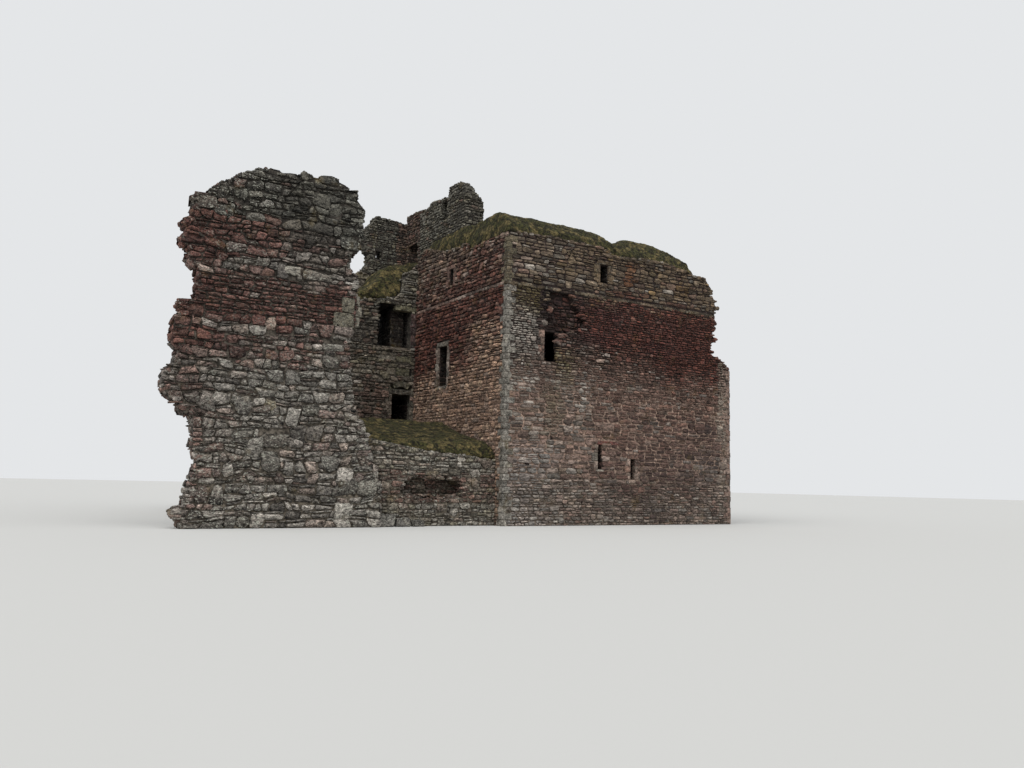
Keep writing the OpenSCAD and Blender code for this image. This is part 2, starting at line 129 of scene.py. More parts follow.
# Colours of single stones, by where in the building they were laid
PALETTES = {
    "deep_red": ["#532f27", "#492a23", "#5e362c", "#412620", "#643b31", "#4e3028"],
    "low_red": ["#4b342d", "#563c33", "#5e4338", "#43302a", "#64493d", "#5a4a41"],
    "red_brown": ["#5f4a41", "#6a5248", "#544038", "#735c51", "#64493f", "#4c3c36"],
    "warm": ["#886d5b", "#957965", "#7a5f4f", "#9e8771", "#8e715d", "#817063"],
    "pink_grey": ["#6e5e55", "#7a6a60", "#62534b", "#857569", "#6c5c52", "#8a7e74"],
    "parapet": ["#594a3a", "#4e4030", "#635340", "#473c2f", "#695c4c", "#3f352b"],
    "ochre": ["#6c5330", "#5f4a2c", "#725c38"],
    "grey": ["#6a6660", "#77736c", "#5f5b55", "#827d75", "#55514b", "#8f8a82"],
    "dark_grey": ["#403e38", "#4b4942", "#383631", "#555249", "#32302c"],
    "boulder_red": ["#4c332e", "#583b34", "#432d29", "#5f4239", "#513a33"],
    "wing": ["#59544a", "#655e52", "#4e4a42", "#6f675b", "#5b5147", "#484239"],
    "garret": ["#4c493f", "#5a564b", "#413e37", "#66625a"],
    "quoin": ["#66625a", "#726d63", "#5a554e", "#7a756b", "#645b52"],
    "olive": ["#5a5645", "#504b3c", "#625d4b"],
    "string": ["#51473a", "#483d32", "#5c5140", "#463a31", "#786d5c"],
    "lintel_red": ["#5a3832", "#4f322d"],
    # The darkest palette is no stone's colour but painted shade, for the broken core and the broken opening's jamb
    "deep_shade": ["#3c302f", "#4c3a38", "#5a4642", "#2a2221"],
}
LINEAR_PALETTES = {name: np.array([linear(colour) for colour in row]) for name, row in PALETTES.items()}


class KeepSizes(bpy.types.PropertyGroup):
    """Sizes of the stones and how they are laid."""
    course: FloatVectorProperty(
        name="Wall courses", description="Lowest and highest course of the main walls",
        size=2, default=(0.10, 0.19), subtype="XYZ_LENGTH", unit="LENGTH")
    stone: FloatVectorProperty(
        name="Wall stones", description="Shortest and longest stone of the main walls",
        size=2, default=(0.16, 0.52), subtype="XYZ_LENGTH", unit="LENGTH")
    boulder_course: FloatVectorProperty(
        name="Boulder courses", description="Lowest and highest course of the forework",
        size=2, default=(0.20, 0.36), subtype="XYZ_LENGTH", unit="LENGTH")
    boulder: FloatVectorProperty(
        name="Boulders", description="Shortest and longest boulder of the forework",
        size=2, default=(0.26, 0.72), subtype="XYZ_LENGTH", unit="LENGTH")
    bed: FloatProperty(
        name="Bed joint", description="Height of a level joint between two courses",
        default=0.030, min=0.005, max=0.06, unit="LENGTH")
    perp: FloatProperty(
        name="Upright joint", description="Width of a joint between two stones of a course",
        default=0.018, min=0.005, max=0.05, unit="LENGTH")
    proud: FloatVectorProperty(
        name="Stand proud", description="How far faces stand out of the mortar",
        size=2, default=(0.02, 0.07), subtype="XYZ_LENGTH", unit="LENGTH")
    quoin: FloatVectorProperty(
        name="Quoins", description="Short arm, long arm and height of a corner stone",
        size=3, default=(0.24, 0.42, 0.28), subtype="XYZ_LENGTH", unit="LENGTH")
    lump: FloatProperty(
        name="Earth lumps", description="Height of the lumps on the banks of earth",
        default=0.16, min=0.0, max=0.3, unit="LENGTH")


class KeepColours(bpy.types.PropertyGroup):
    """Colours of what lies between and on the stones."""
    mortar_low: FloatVectorProperty(
        name="Mortar low down", description="Washed lime mortar near the ground",
        subtype="COLOR", size=3, default=linear("#786559"))
    mortar_high: FloatVectorProperty(
        name="Mortar high up", description="Dark, weathered mortar of the upper walls",
        subtype="COLOR", size=3, default=linear("#2e2522"))
    lichen: FloatVectorProperty(
        name="Lichen", description="Pale grey-green crust lichen",
        subtype="COLOR", size=3, default=linear("#a5a497"))
    ochre: FloatVectorProperty(
        name="Ochre lichen", description="Yellow-brown lichen and iron stain",
        subtype="COLOR", size=3, default=linear("#74602f"))
    moss: FloatVectorProperty(
        name="Moss", description="Dry moss on the banks of earth",
        subtype="COLOR", size=3, default=linear("#3a391e"))
    soil: FloatVectorProperty(
        name="Soil", description="Bare soil of the banks",
        subtype="COLOR", size=3, default=linear("#1c180e"))
    floor: FloatVectorProperty(
        name="Floor", description="Plain pale studio floor",
        subtype="COLOR", size=3, default=linear("#bdbcb8"))


class KeepCamera(bpy.types.PropertyGroup):
    """Where the picture is taken from, measured from the near corner of the gable."""
    along: FloatProperty(
        name="Along the gable", description="Distance of the eye along the gable line",
        default=-19.286, unit="LENGTH")
    back: FloatProperty(
        name="In front", description="Distance of the eye in front of the gable line",
        default=-31.46, unit="LENGTH")
    eye: FloatProperty(
        name="Eye height", description="Height of the eye", default=1.8, unit="LENGTH")
    turn: FloatProperty(
        name="Turn", description="Turn of the view from straight at the gable",
        default=math.radians(-32.0), subtype="ANGLE")
    pitch: FloatProperty(
        name="Pitch", description="Upward tilt of the view",
        default=math.atan(100 / 854), subtype="ANGLE")
    roll: FloatProperty(
        name="Roll", description="Lean of the picture", default=0.022, subtype="ANGLE")
    lens: FloatProperty(
        name="Lens", description="Focal length in millimetres on a 36 mm wide sensor",
        default=36 * 854 / 1024, unit="CAMERA")


class Facet:
    """One flat stretch of masonry: its own right and up directions, its triangles and what touches it."""

    def __init__(self, normal, offset):
        self.normal = normal
        self.offset = offset
        if abs(normal[2]) > 0.97:
            right = np.array((1.0, 0.0, 0.0))
        else:
            right = np.array((-normal[1], normal[0], 0.0))
        right -= normal * (right @ normal)
        self.right = right / np.linalg.norm(right)
        self.up = np.cross(normal, self.right)

    def flat(self, points):
        """How far right and up each point lies."""
        return np.stack([points @ self.right, points @ self.up], -1)

    def point(self, s, t, depth):
        """3-D place of (s, t), raised by depth."""
        return (np.multiply.outer(s, self.right) + np.multiply.outer(t, self.up)
                + np.multiply.outer(self.offset + depth, self.normal))


def node_triangles(name):
    """Corners (n, 3, 3) of a node's triangles."""
    mesh = frame["nodes"][name].data
    mesh.calc_loop_triangles()
    places = np.empty(len(mesh.vertices) * 3, np.float32)
    mesh.vertices.foreach_get("co", places)
    index = np.empty(len(mesh.loop_triangles) * 3, np.int32)
    mesh.loop_triangles.foreach_get("vertices", index)
    return places.reshape(-1, 3)[index].reshape(-1, 3, 3).astype(float)


def triangle_table():
    """Owner, normal, offset and corners of every triangle of the solid model."""
    owners, tris = [], []
    for name in frame["nodes"]:
        found = node_triangles(name)
        owners += [name] * len(found)
        tris.append(found)
    tris = np.concatenate(tris)
    cross = np.cross(tris[:, 1] - tris[:, 0], tris[:, 2] - tris[:, 0])
    size = np.linalg.norm(cross, axis=1)
    good = size > 1e-6
    normals = cross[good] / size[good, None]
    tris = tris[good]
    return np.array(owners)[good], normals, (tris[:, 0] * normals).sum(1), tris


TOUCHING = 0.004  # metres
PARALLEL = 0.9998  # cosine of the angle between two normals


def facets_of(names, table):
    """The flat stretches of the named nodes; faces of any node against them cover them."""
    owners, normals, offsets, tris = table
    found = []
    mine = np.where(np.isin(owners, names))[0]
    while len(mine):
        normal, offset = normals[mine[0]], offsets[mine[0]]
        flush = (normals[mine] @ normal > PARALLEL) & (abs(offsets[mine] - offset) < TOUCHING)
        facet = Facet(normal, offset)
        facet.tris = facet.flat(tris[mine[flush]])
        facet.names = set(owners[mine[flush]])
        facet.covered = facet.flat(tris[(normals @ normal < -PARALLEL) & (abs(offsets + offset) < TOUCHING)])
        mine = mine[~flush]
        found.append(facet)
    return found


def merged(spans):
    """The spans in order, with those that touch made one."""
    out = []
    for a, b in sorted(spans):
        if out and a <= out[-1][1] + TOUCHING:
            out[-1][1] = max(out[-1][1], b)
        else:
            out.append([a, b])
    return out


def spans_at(tris, t):
    """Stretches of the line at height t that lie in the triangles."""
    if len(tris) == 0:
        return []
    low = tris[:, :, 1].min(1)
    high = tris[:, :, 1].max(1)
    spans = []
    for tri in tris[(low < t) & (high > t)]:
        hits = []
        for i in range(3):
            (s0, t0), (s1, t1) = tri[i], tri[(i + 1) % 3]
            if (t0 - t) * (t1 - t) < 0:
                hits.append(s0 + (s1 - s0) * (t - t0) / (t1 - t0))
            elif t0 == t:
                hits.append(s0)
        if len(hits) >= 2:
            spans.append((min(hits), max(hits)))
    return merged(spans)


def without(spans, holes):
    """The spans less the holes; what is left and too short for a stone goes too."""
    shortest = 0.03
    out = [tuple(span) for span in spans]
    for a, b in holes:
        halves = [half for s0, s1 in out for half in ((s0, min(s1, a)), (max(s0, b), s1))]
        out = [(s0, s1) for s0, s1 in halves if s1 - s0 > shortest]
    return out


class Look:
    """How one kind of walling is laid: lengths in metres, the rest as shares of a stone."""
    bed, perp = 0.03, 0.018  # level and upright joints
    bulge, ragged = 0.022, 0.05  # how far a face swells, and how far stones overrun the end of a wall
    cut, rough, tilt, craggy = 0.26, 0.09, 0.07, 0.7  # corners knocked off, and how uneven a face is
    ring, rings = 8, 1  # points in a stone's outline, and how finely its edge is rounded
    big, thin = 0.05, 0.18  # how many stones are two courses high, and how many are split into two thin ones
    split, lean, wander = (0.35, 0.65), 0.16, 0.14  # where they are split; how joints lean and courses wander
    bands = ()  # from, to, and how much taller the courses are between
    relief = ((0.0, 20.0), (1.0, 1.0))  # heights, and how far stones stand out at each

    def __init__(self, course, stone, proud, **changed):
        self.course, self.stone, self.proud = tuple(course), tuple(stone), tuple(proud)
        for key, value in changed.items():
            setattr(self, key, value)

    def band(self, level):
        """How much taller the courses are at one height."""
        return next((factor for low, high, factor in self.bands if low <= level < high), 1.0)


class Face:
    """One upright face: distances run along it, heights up it, depths out of it."""

    def __init__(self, start, along, out):
        self.start = np.array((CORNER.x + start[0], CORNER.y + start[1], CAD_BOUNDS[0][2]))
        self.along = np.array((*along, 0.0), float)
        self.out = np.array((*out, 0.0), float)

    def axes(self):
        """Directions along, up and out."""
        return np.array((self.along, (0, 0, 1), self.out))

    def at(self, a, h, d=0.0):
        """The place that lies a along, h up and d out."""
        return self.start + self.along * a + self.out * d + np.array((0.0, 0.0, h))


FACES = {
    "gable": Face((0, 0), (1, 0), (0, -1)),
    "left": Face((0, 0), (0, 1), (-1, 0)),
    "right": Face((GABLE_L, 0), (0, 1), (1, 0)),
    "rear": Face((0, BLOCK_D), (1, 0), (0, 1)),
    "wing": Face((0, WING_Y), (1, 0), (0, -1)),
    "garret": Face((0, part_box("garret_end_wall")[0].y - CORNER.y), (1, 0), (0, -1)),
}


def reserved_on(facet):
    """Rectangles of the facet that dressed stones take."""
    out = []
    for low, high in Site.reserved:
        corners = np.array(list(itertools.product(*zip(low, high))))
        depth = corners @ facet.normal - facet.offset
        if depth.min() < FLUSH and depth.max() > -FLUSH:
            flat = facet.flat(corners)
            out.append((*flat.min(0), *flat.max(0)))
    return out


def course_heights(low, top, look, rng):
    """Foot and top of each course; the last one takes up what is left."""
    heights = []
    level = low
    while level < top - 0.03:
        step = rng.uniform(*look.course) * look.band(level)
        if top - level - step < look.course[0] * 0.6:
            step = top - level
        heights.append((level, min(level + step, top)))
        level += step
    return heights


def split_stone(box, share, gap):
    """A quad cut level into two thin stones."""
    left = [box[0][k] + (box[3][k] - box[0][k]) * share for k in (0, 1)]
    right = [box[1][k] + (box[2][k] - box[1][k]) * share for k in (0, 1)]
    return [[box[0], box[1], (right[0], right[1] - gap), (left[0], left[1] - gap)],
            [(left[0], left[1] + gap), (right[0], right[1] + gap), box[2], box[3]]]


def lay_courses(facet, look, rng, skip):
    """Quads (n, 4, 2) of the stones that fill a facet, course by course."""
    level = facet.tris[:, :, 1]
    heights = course_heights(level.min(), level.max(), look, rng)
    # how fast and from where each bed joint swings, slowly and then faster
    waves = [(rng.uniform(0.5, 1.6), rng.uniform(0, 6.3), rng.uniform(2.5, 5.0), rng.uniform(0, 6.3))
             for _ in range(len(heights) + 2)]

    def edge(i, s):
        """How high the foot of course i lies at s: level at the bottom and top of the wall, wavy between"""
        if i == 0:
            return heights[0][0]
        if i >= len(heights):
            return heights[-1][1]
        f1, p1, f2, p2 = waves[i]
        swing = look.wander * (heights[i][1] - heights[i][0])
        return heights[i][0] + swing * (math.sin(f1 * s + p1) + 0.6 * math.sin(f2 * s + p2))

    quads = []
    reserved = reserved_on(facet)
    blocked = [[] for _ in range(len(heights) + 2)]
    side, gap = look.perp / 2, look.bed / 2
    for i, (t0, t1) in enumerate(heights):
        mid = (t0 + t1) / 2
        holes = [tuple(h) for h in spans_at(facet.covered, mid)] + blocked[i]
        holes += [(r[0], r[2]) for r in reserved if r[1] - 0.02 <= mid <= r[3] + 0.02]
        for a, b in without(spans_at(facet.tris, mid), holes):
            a -= rng.uniform(-0.3, 1.0) * look.ragged
            b += rng.uniform(-0.3, 1.0) * look.ragged
            s = a
            lean = 0.0
            while s < b - 0.02:
                # low courses take shorter stones, and the last stone takes up what is left
                length = rng.uniform(*look.stone) * (0.8 if t1 - t0 < sum(look.course) / 2 else 1.1)
                length *= max(1.0, look.band(t0))
                if b - s - length < look.stone[0] * 0.7:
                    length = b - s
                e = s + length
                # a big stone stands two courses high, where the course above runs on over it
                tops = i + 1
                if rng.random() < look.big and i + 2 < len(heights) and length > sum(look.stone) * 0.4:
                    ahead = spans_at(facet.tris, sum(heights[i + 1]) / 2)
                    if any(x0 <= s and e <= x1 for x0, x1 in ahead):
                        tops = i + 2
                        blocked[i + 1].append((s, e))
                # the joint between two stones leans, and some stones are two thin ones
                was, lean = lean, rng.uniform(-1, 1) * look.lean * (t1 - t0) * (e < b - 0.02)
                box = [(s + side - was, edge(i, s) + gap), (e - side - lean, edge(i, e) + gap),
                       (e - side + lean, edge(tops, e) - gap), (s + side + was, edge(tops, s) - gap)]
                if tops == i + 1 and rng.random() < look.thin and t1 - t0 > look.course[0] * 1.15:
                    share = rng.uniform(*look.split)
                    quads += split_stone(box, share if rng.random() < 0.5 else 1 - share, gap * 0.7)
                else:
                    quads.append(box)
                s = e
    quads = np.array(quads).reshape(-1, 4, 2)
    quads += rng.uniform(-0.5, 0.5, quads.shape) * (look.perp, look.bed)
    return quads[~skip(facet.point(*quads.mean(1).T, 0.02))] if len(quads) else quads


def inside_box(points):
    """The points, kept just inside the solid model's box."""
    return np.clip(points, np.array(CAD_BOUNDS[0]) + INSET, np.array(CAD_BOUNDS[1]) - INSET)


# A stone from its back to its face: size of each ring, how far out it lies and how light it is, by Look.rings. The
# dark back ring is painted shade in the joint round each stone, and the face is painted lighter towards its middle.
LAYERS = {
    1: ((1.0, -0.8, 0.3), (0.9, 0.85, 0.97)),
    2: ((1.0, -0.8, 0.28), (0.985, 0.5, 0.72), (0.84, 0.95, 1.0)),
    3: ((1.0, -0.8, 0.25), (0.985, 0.4, 0.66), (0.84, 0.9, 0.96), (0.5, 1.15, 1.04)),
}
FACE_SHADE = 1.04  # lightness of the middle of the face
UPPER_SHADE = 0.65  # how much lighter a stone is from its middle to its top, where more light falls


def outlines(quads, look, rng):
    """Each quad's outline with its corners knocked off, its middle, its size and how uneven it is."""
    ways = [np.roll(quads, step, axis=1) - quads for step in (1, -1)]
    sides = [np.linalg.norm(way, axis=2) for way in ways]
    cut = look.cut * np.minimum(*sides) * rng.uniform(0.2, 1.9, sides[0].shape)
    points = [quads + way * np.clip(cut / side, 0.03, 0.42)[..., None] for way, side in zip(ways, sides)]
    if look.ring == 12:
        points.insert(1, quads + (sum(points) - 2 * quads) * rng.uniform(0.22, 0.36, (len(quads), 4, 1)))
    ring = np.stack(points, 2).reshape(len(quads), look.ring, 2)
    size = np.minimum(*sides).min(1)
    wobble = np.clip(size * look.rough, 0.002, 0.04)[:, None]
    return ring + rng.normal(0, 0.7, ring.shape) * wobble[:, None], ring.mean(1, keepdims=True), size, wobble


def stone_faces(count, rows):
    """Triangles of a stone made of rows of count points, and one more in the middle of its face."""
    faces = []
    for r, k in itertools.product(range(rows), range(count)):
        a, b = r * count + k, r * count + (k + 1) % count
        faces += [(a, b, b + count), (a, b + count, a + count)] if r < rows - 1 else [(a, b, rows * count)]
    return np.array(faces)


class Masonry:
    """Gathers stones of one piece and turns them into one mesh."""

    def __init__(self, name, slot, rng):
        self.name = name
        self.slot = slot
        self.rng = rng
        self.points = []
        self.faces = []
        self.tints = []
        self.count = 0
        self.boxes = []

    def add(self, facet, quads, look, colours, lichen):
        """Rounded, slightly tilted stones with their backs in the mortar, one per quad."""
        n = len(quads)
        if n == 0:
            return
        rng = self.rng
        ring, centre, size, wobble = outlines(quads, look, rng)
        relief = np.interp(facet.point(*centre[:, 0].T, 0.0)[:, 2], *look.relief)
        proud = rng.uniform(*look.proud, n) * relief
        tilt = rng.normal(0, look.tilt, (n, 2)) * relief[:, None]
        bulge = look.bulge * relief * rng.uniform(0.4, 1.5, n)
        layers = LAYERS[look.rings]
        verts, shades = [], []
        for scale, rise, shade in layers:
            # small stones are rounder than large ones; what lies out of the mortar is tilted and craggy
            shrink = 1 - (1 - scale) * np.clip(0.16 / size, 0.35, 1.6)[:, None, None]
            flat = centre + (ring - centre) * shrink
            depth = np.tile((proud * rise)[:, None], (1, look.ring))
            if rise > 0:
                depth += ((flat - centre) * tilt[:, None, :]).sum(2) * rise
                depth += rng.normal(0, 1, depth.shape) * wobble * look.craggy * relief[:, None]
                depth = np.maximum(depth, 0.004)
            verts.append(facet.point(flat[..., 0], flat[..., 1], depth))
            shades.append(np.full(depth.shape, shade))
        top = centre[:, 0] + rng.normal(0, 0.05, (n, 2)) * size[:, None]
        verts.append(facet.point(*top.T, proud * layers[-1][1] + bulge)[:, None])
        shades.append(np.full((n, 1), FACE_SHADE))
        points = np.concatenate(verts, 1)
        rise = (points - points.mean(1, keepdims=True)) @ facet.up / size[:, None]
        # painted shade and light: each stone darkens towards the joint round it and towards its foot, and is lighter
        # at its middle and top
        shade = np.concatenate(shades, 1) * rng.uniform(0.88, 1.12, points.shape[:2]) * (1 + UPPER_SHADE * rise)
        self.store(points, stone_faces(look.ring, len(layers)), colours, lichen, shade)

    def add_rocks(self, places, sizes, colours, lichen):
        """Loose, angular rocks, each a jolted copy of one small ball."""
        rng = self.rng
        n = len(places)
        ball, faces = Site.ball
        shape = ball[None] * (1 + rng.normal(0, 0.13, (n, len(ball), 1)))
        shape = np.sign(shape) * np.abs(shape) ** 0.75 * sizes[:, None, :]
        turn = rng.uniform(0, 2 * math.pi, n)
        c, s = np.cos(turn)[:, None], np.sin(turn)[:, None]
        x, y, z = shape[..., 0], shape[..., 1], shape[..., 2]
        lean = rng.normal(0, 0.12, (n, 2))
        z = z + x * lean[:, :1] + y * lean[:, 1:]
        points = np.stack([x * c - y * s, x * s + y * c, z], -1) + places[:, None, :]
        self.store(points, faces, colours, lichen, rng.uniform(0.8, 1.1, (n, len(ball))))

    def add_box(self, centre, axes, half, bevel, colour, lichen=0.5):
        """One squared stone, its edges rounded by wear and painted darker as shade; axes are its own three
        directions.
        """
        self.boxes.append((centre, axes, half, bevel, colour, lichen))

    def store(self, points, faces, colours, lichen, shade):
        """Keeps n stones that share one pattern of triangles, with their colours and how lichened they are."""
        n, per = points.shape[:2]
        self.faces.append((faces[None] + (np.arange(n) * per)[:, None, None] + self.count).reshape(-1, 3))
        self.points.append(points.reshape(-1, 3))
        tint = np.concatenate([colours[:, None, :] * shade[..., None],
                               np.broadcast_to(lichen[:, None, None], (n, per, 1))], 2)
        self.tints.append(tint.reshape(-1, 4))
        self.count += n * per

    def square_up(self):
        """Turns the gathered squared stones into mesh."""
        if not self.boxes:
            return
        rng = self.rng
        sign, edge, faces = Site.block
        centre, axes, half, bevel, colour, lichen = (np.array(column, float) for column in zip(*self.boxes))
        n = len(centre)
        bevel = np.minimum(bevel, half.min(1) * 0.45)[:, None, None]
        length = np.linalg.norm(edge, axis=1, keepdims=True)
        local_points = sign[None] * (half[:, None, :] - bevel) + bevel * (edge / length)[None]
        local_points += rng.normal(0, 1, local_points.shape) * bevel * 0.3
        points = np.einsum("npk,nkj->npj", local_points, axes) + centre[:, None, :]
        # painted shade: the corners along each block's edges are darker, where it meets its neighbours
        edge_shade = np.where((edge != 0).sum(1) > 1, 0.8, 1.0)
        self.store(points, faces, colour, lichen, edge_shade[None] * rng.uniform(0.92, 1.08, points.shape[:2]))

    def finish(self, material, *replaced):
        """Makes the mesh, and says what it rides and the nodes that it stands in for."""
        self.square_up()
        mesh = bpy.data.meshes.new(self.name)
        mesh.from_pydata(inside_box(np.concatenate(self.points)).tolist(), [], np.concatenate(self.faces).tolist())
        tint = mesh.attributes.new("tint", "FLOAT_COLOR", "POINT")
        tint.data.foreach_set("color", np.concatenate(self.tints).astype(np.float32).ravel())
        mesh.update()
        piece = bpy.data.objects.new(self.name, mesh)
        bpy.context.scene.collection.objects.link(piece)
        mesh.materials.append(material)
        select_only(piece)
        bpy.ops.object.shade_smooth_by_angle(angle=math.radians(30))
        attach(piece, "root")
        if replaced:
            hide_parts(*replaced)


def select_only(chosen):
    """Leaves one object selected and active."""
    for other in bpy.context.view_layer.objects:
        other.select_set(False)
    chosen.select_set(True)
    bpy.context.view_layer.objects.active = chosen


def modifier(chosen, kind, **settings):
    """Adds a modifier to the active object and applies it."""
    added = chosen.modifiers.new(kind.lower(), kind)
    for key, value in settings.items():
        setattr(added, key, value)
    bpy.ops.object.modifier_apply(modifier=added.name)


def pattern_of(piece):
    """The corners and triangles of a piece that others are copied from; the piece itself goes."""
    mesh = piece.data
    points = np.array([v.co[:] for v in mesh.vertices])
    faces = np.array([p.vertices[:] for p in mesh.polygons])
    bpy.data.objects.remove(piece)
    bpy.data.meshes.remove(mesh)
    return points, faces


def rock_ball():
    """A small ball of 42 corners, the pattern of every loose rock."""
    bpy.ops.mesh.primitive_ico_sphere_add(subdivisions=2, radius=1.0)
    return pattern_of(bpy.context.object)


def squared_block():
    """A block with a rim round every face, the pattern of every squared stone.

    It gives the side of the block that each corner is on, which way it lies from the rim, and the triangles.
    """
    bpy.ops.mesh.primitive_cube_add(size=2.0)
    block = bpy.context.object
    select_only(block)
    bpy.ops.object.mode_set(mode="EDIT")
    bpy.ops.mesh.select_all(action="SELECT")
    bpy.ops.mesh.subdivide(number_cuts=2)
    bpy.ops.mesh.quads_convert_to_tris()
    bpy.ops.object.mode_set(mode="OBJECT")
    points, faces = pattern_of(block)
    return np.sign(points), np.sign(points) * (np.abs(points) > 0.9), faces


def patches(points, seed, scale):
    """A smooth, repeatable number from -1 to 1 at each point, for patches of colour."""
    rng = np.random.default_rng(seed)
    total = np.zeros(len(points))
    for _ in range(5):
        way = rng.normal(0, 1, 3)
        total += np.sin(points @ way / scale + rng.uniform(0, 6.3))
    return total / 2.6


def choose(weights, rng):
    """A colour for each stone from palettes mixed by weights {name: (n,) array}, drawn towards their mean."""
    names = list(weights)
    table = np.stack([np.clip(weights[name], 0, None) for name in names], 1) + 1e-9
    table /= table.sum(1, keepdims=True)
    pick = (table.cumsum(1) > rng.random((len(table), 1))).argmax(1)
    palettes = [LINEAR_PALETTES[name] for name in names]
    mean = table @ np.array([palette.mean(0) for palette in palettes])
    colours = np.zeros((len(table), 3))
    for k, palette in enumerate(palettes):
        chosen = pick == k
        colours[chosen] = palette[rng.integers(0, len(palette), chosen.sum())]
    return (mean + colours) / 2 * rng.uniform(0.5, 1.5, (len(table), 1))


def survey(points):
    """How far along the gable, how far back and how high each point lies from the near corner."""
    return (points - ORIGIN).T


def ramp(x, low, high):
    """0 below low, 1 above high and even between."""
    return np.clip((x - low) / (high - low), 0, 1)


def bump(x, low, high, soft):
    """1 from low to high, falling to 0 over a soft margin on both sides."""
    return ramp(x, low - soft, low) * (1 - ramp(x, high, high + soft))


def gable_weights(p):
    """Grey foot, brown middle, maroon band and lichened head; paler near the corner and below the window."""
    u, _, z = survey(p)
    noise = patches(p, 3, 1.1)
    head = ramp(z + 0.4 * noise, STRING_Z - 0.5, STRING_Z + 0.3)
    maroon = ramp(z + 0.9 * noise + 1.1 * ramp(u, 8.8, 11.2), 7.2, 9.1) * (1 - head)
    foot = 1 - ramp(z + 0.8 * noise, 1.2, 2.8)
    low = np.clip(1 - foot - head - maroon, 0, 1)
    corner = (1 - ramp(u + 0.6 * noise, 1.4, 4.0)) * (1 - 0.5 * head)
    strip = bump(u, 2.9, 4.4, 0.7) * bump(z, 1.8, 6.6, 0.8)
    return {
        "deep_red": maroon * (1 - 0.8 * corner),
        "low_red": 0.9 * low + 0.25 * foot + 0.15 * maroon,
        "red_brown": 0.25 * low + 0.12 * head + 0.1 * corner,
        "pink_grey": 0.8 * foot + 0.15 * low + 0.4 * corner + 0.6 * strip,
        "parapet": 1.2 * head + 0.25 * corner,
        "ochre": 0.16 * head * ramp(patches(p, 33, 0.9), 0.0, 0.6),
        "grey": 0.15 * head + 0.35 * foot + 0.12 * low + 0.9 * corner + 0.9 * strip,
    }


def left_weights(p):
    """Maroon above, warm orange brown below, lichened head."""
    _, v, z = survey(p)
    noise = patches(p, 4, 1.0)
    head = ramp(z + 0.5 * noise + 0.12 * v, 11.9, 13.2)
    maroon = ramp(z + 0.8 * noise + 0.35 * (np.maximum(v, 2.4) - 4), 7.4, 9.0) * (1 - 0.8 * head)
    low = np.clip(1 - maroon - head, 0, 1)
    upper = maroon * ramp(z, STRING_Z - 0.6, STRING_Z + 0.6)
    return {"deep_red": maroon, "red_brown": 0.3 * maroon + 0.1 * low, "warm": 1.1 * low + 0.12 * upper,
            "parapet": 0.6 * head + 0.05 * maroon, "pink_grey": 0.15 * low + 0.5 * head + 0.3 * upper}


def wing_weights(p):
    """Olive grey, with warmer blocks low down near the door and dark, damp ones beside the broken opening."""
    u, _, z = survey(p)
    noise = patches(p, 5, 0.9)
    damp = bump(z, 8.8, 11.2, 0.4) * (1 - ramp(u, -2.4, -2.1))
    warm = bump(z, 3.0, 6.8, 0.5) + 0.4 * damp
    return {"wing": 1.0 - 0.6 * damp, "red_brown": 0.1 + 0.2 * noise + 0.7 * warm,
            "grey": 0.3 - 0.2 * noise - 0.3 * damp, "olive": 0.4 * (1 - warm), "dark_grey": 1.2 * damp}


def fragment_weights(p):
    """Grey boulders with bands of thin red slabs; the top is darker."""
    u, _, z = survey(p)
    noise = patches(p, 8, 0.7)
    red = 0.9 * bump(z + 0.25 * noise, 7.7, 9.2, 0.3)
    red += 0.9 * bump(z + 0.2 * noise, 9.8, 11.3, 0.25) * (1 - 0.7 * ramp(u, -10.5, -9.0))
    red += 0.7 * bump(z + 0.3 * noise, 6.2, 7.1, 0.3) + 0.08 * bump(z, 0.0, 5.0, 0.5) + 0.10 * noise
    red += 0.4 * (1 - ramp(u, -12.8, -11.6))
    red = np.clip(red, 0, 1)
    dark = ramp(z + 0.3 * noise, 9.2, 11.4)
    return {"grey": (1 - red) * (1 - 0.9 * dark), "dark_grey": (1 - red) * (0.10 + dark), "boulder_red": red,
            "red_brown": 0.15 * red, "pink_grey": 0.25 * (1 - red) * (1 - dark)}


def low_weights(p):
    """Grey and olive, with red and pink stones in the hollow."""
    noise = patches(p, 6, 0.5)
    hollow = bump(p[:, 2] + 0.1 * noise, 1.0, 2.15, 0.1)
    return {"grey": 0.6 - 0.45 * hollow, "wing": 0.6 + 0 * noise, "olive": 0.3 + 0.2 * noise,
            "boulder_red": 0.9 * hollow, "pink_grey": 0.15 + 0.4 * hollow}


def garret_weights(p):
    """Dull olive grey."""
    noise = patches(p, 9, 0.8)
    return {"garret": 1.0 + 0 * noise, "dark_grey": 0.4 + 0 * noise, "red_brown": 0.1 + 0.15 * noise,
            "olive": 0.2 + 0.2 * noise}


def inner_weights(p):
    """Brown and olive, as the rooms' walls are."""
    noise = patches(p, 12, 1.2)
    return {"red_brown": 0.8 + 0.3 * noise, "wing": 0.8 + 0 * noise, "deep_red": 0.3 + 0.2 * noise}


def shaded_core_weights(p):
    """The broken core: a dark palette of painted shade, mixed with red and pink-grey stones."""
    return {"deep_shade": 1.0 + 0 * p[:, 0], "deep_red": 0.6 + 0 * p[:, 0], "pink_grey": 0.15 + 0 * p[:, 0]}
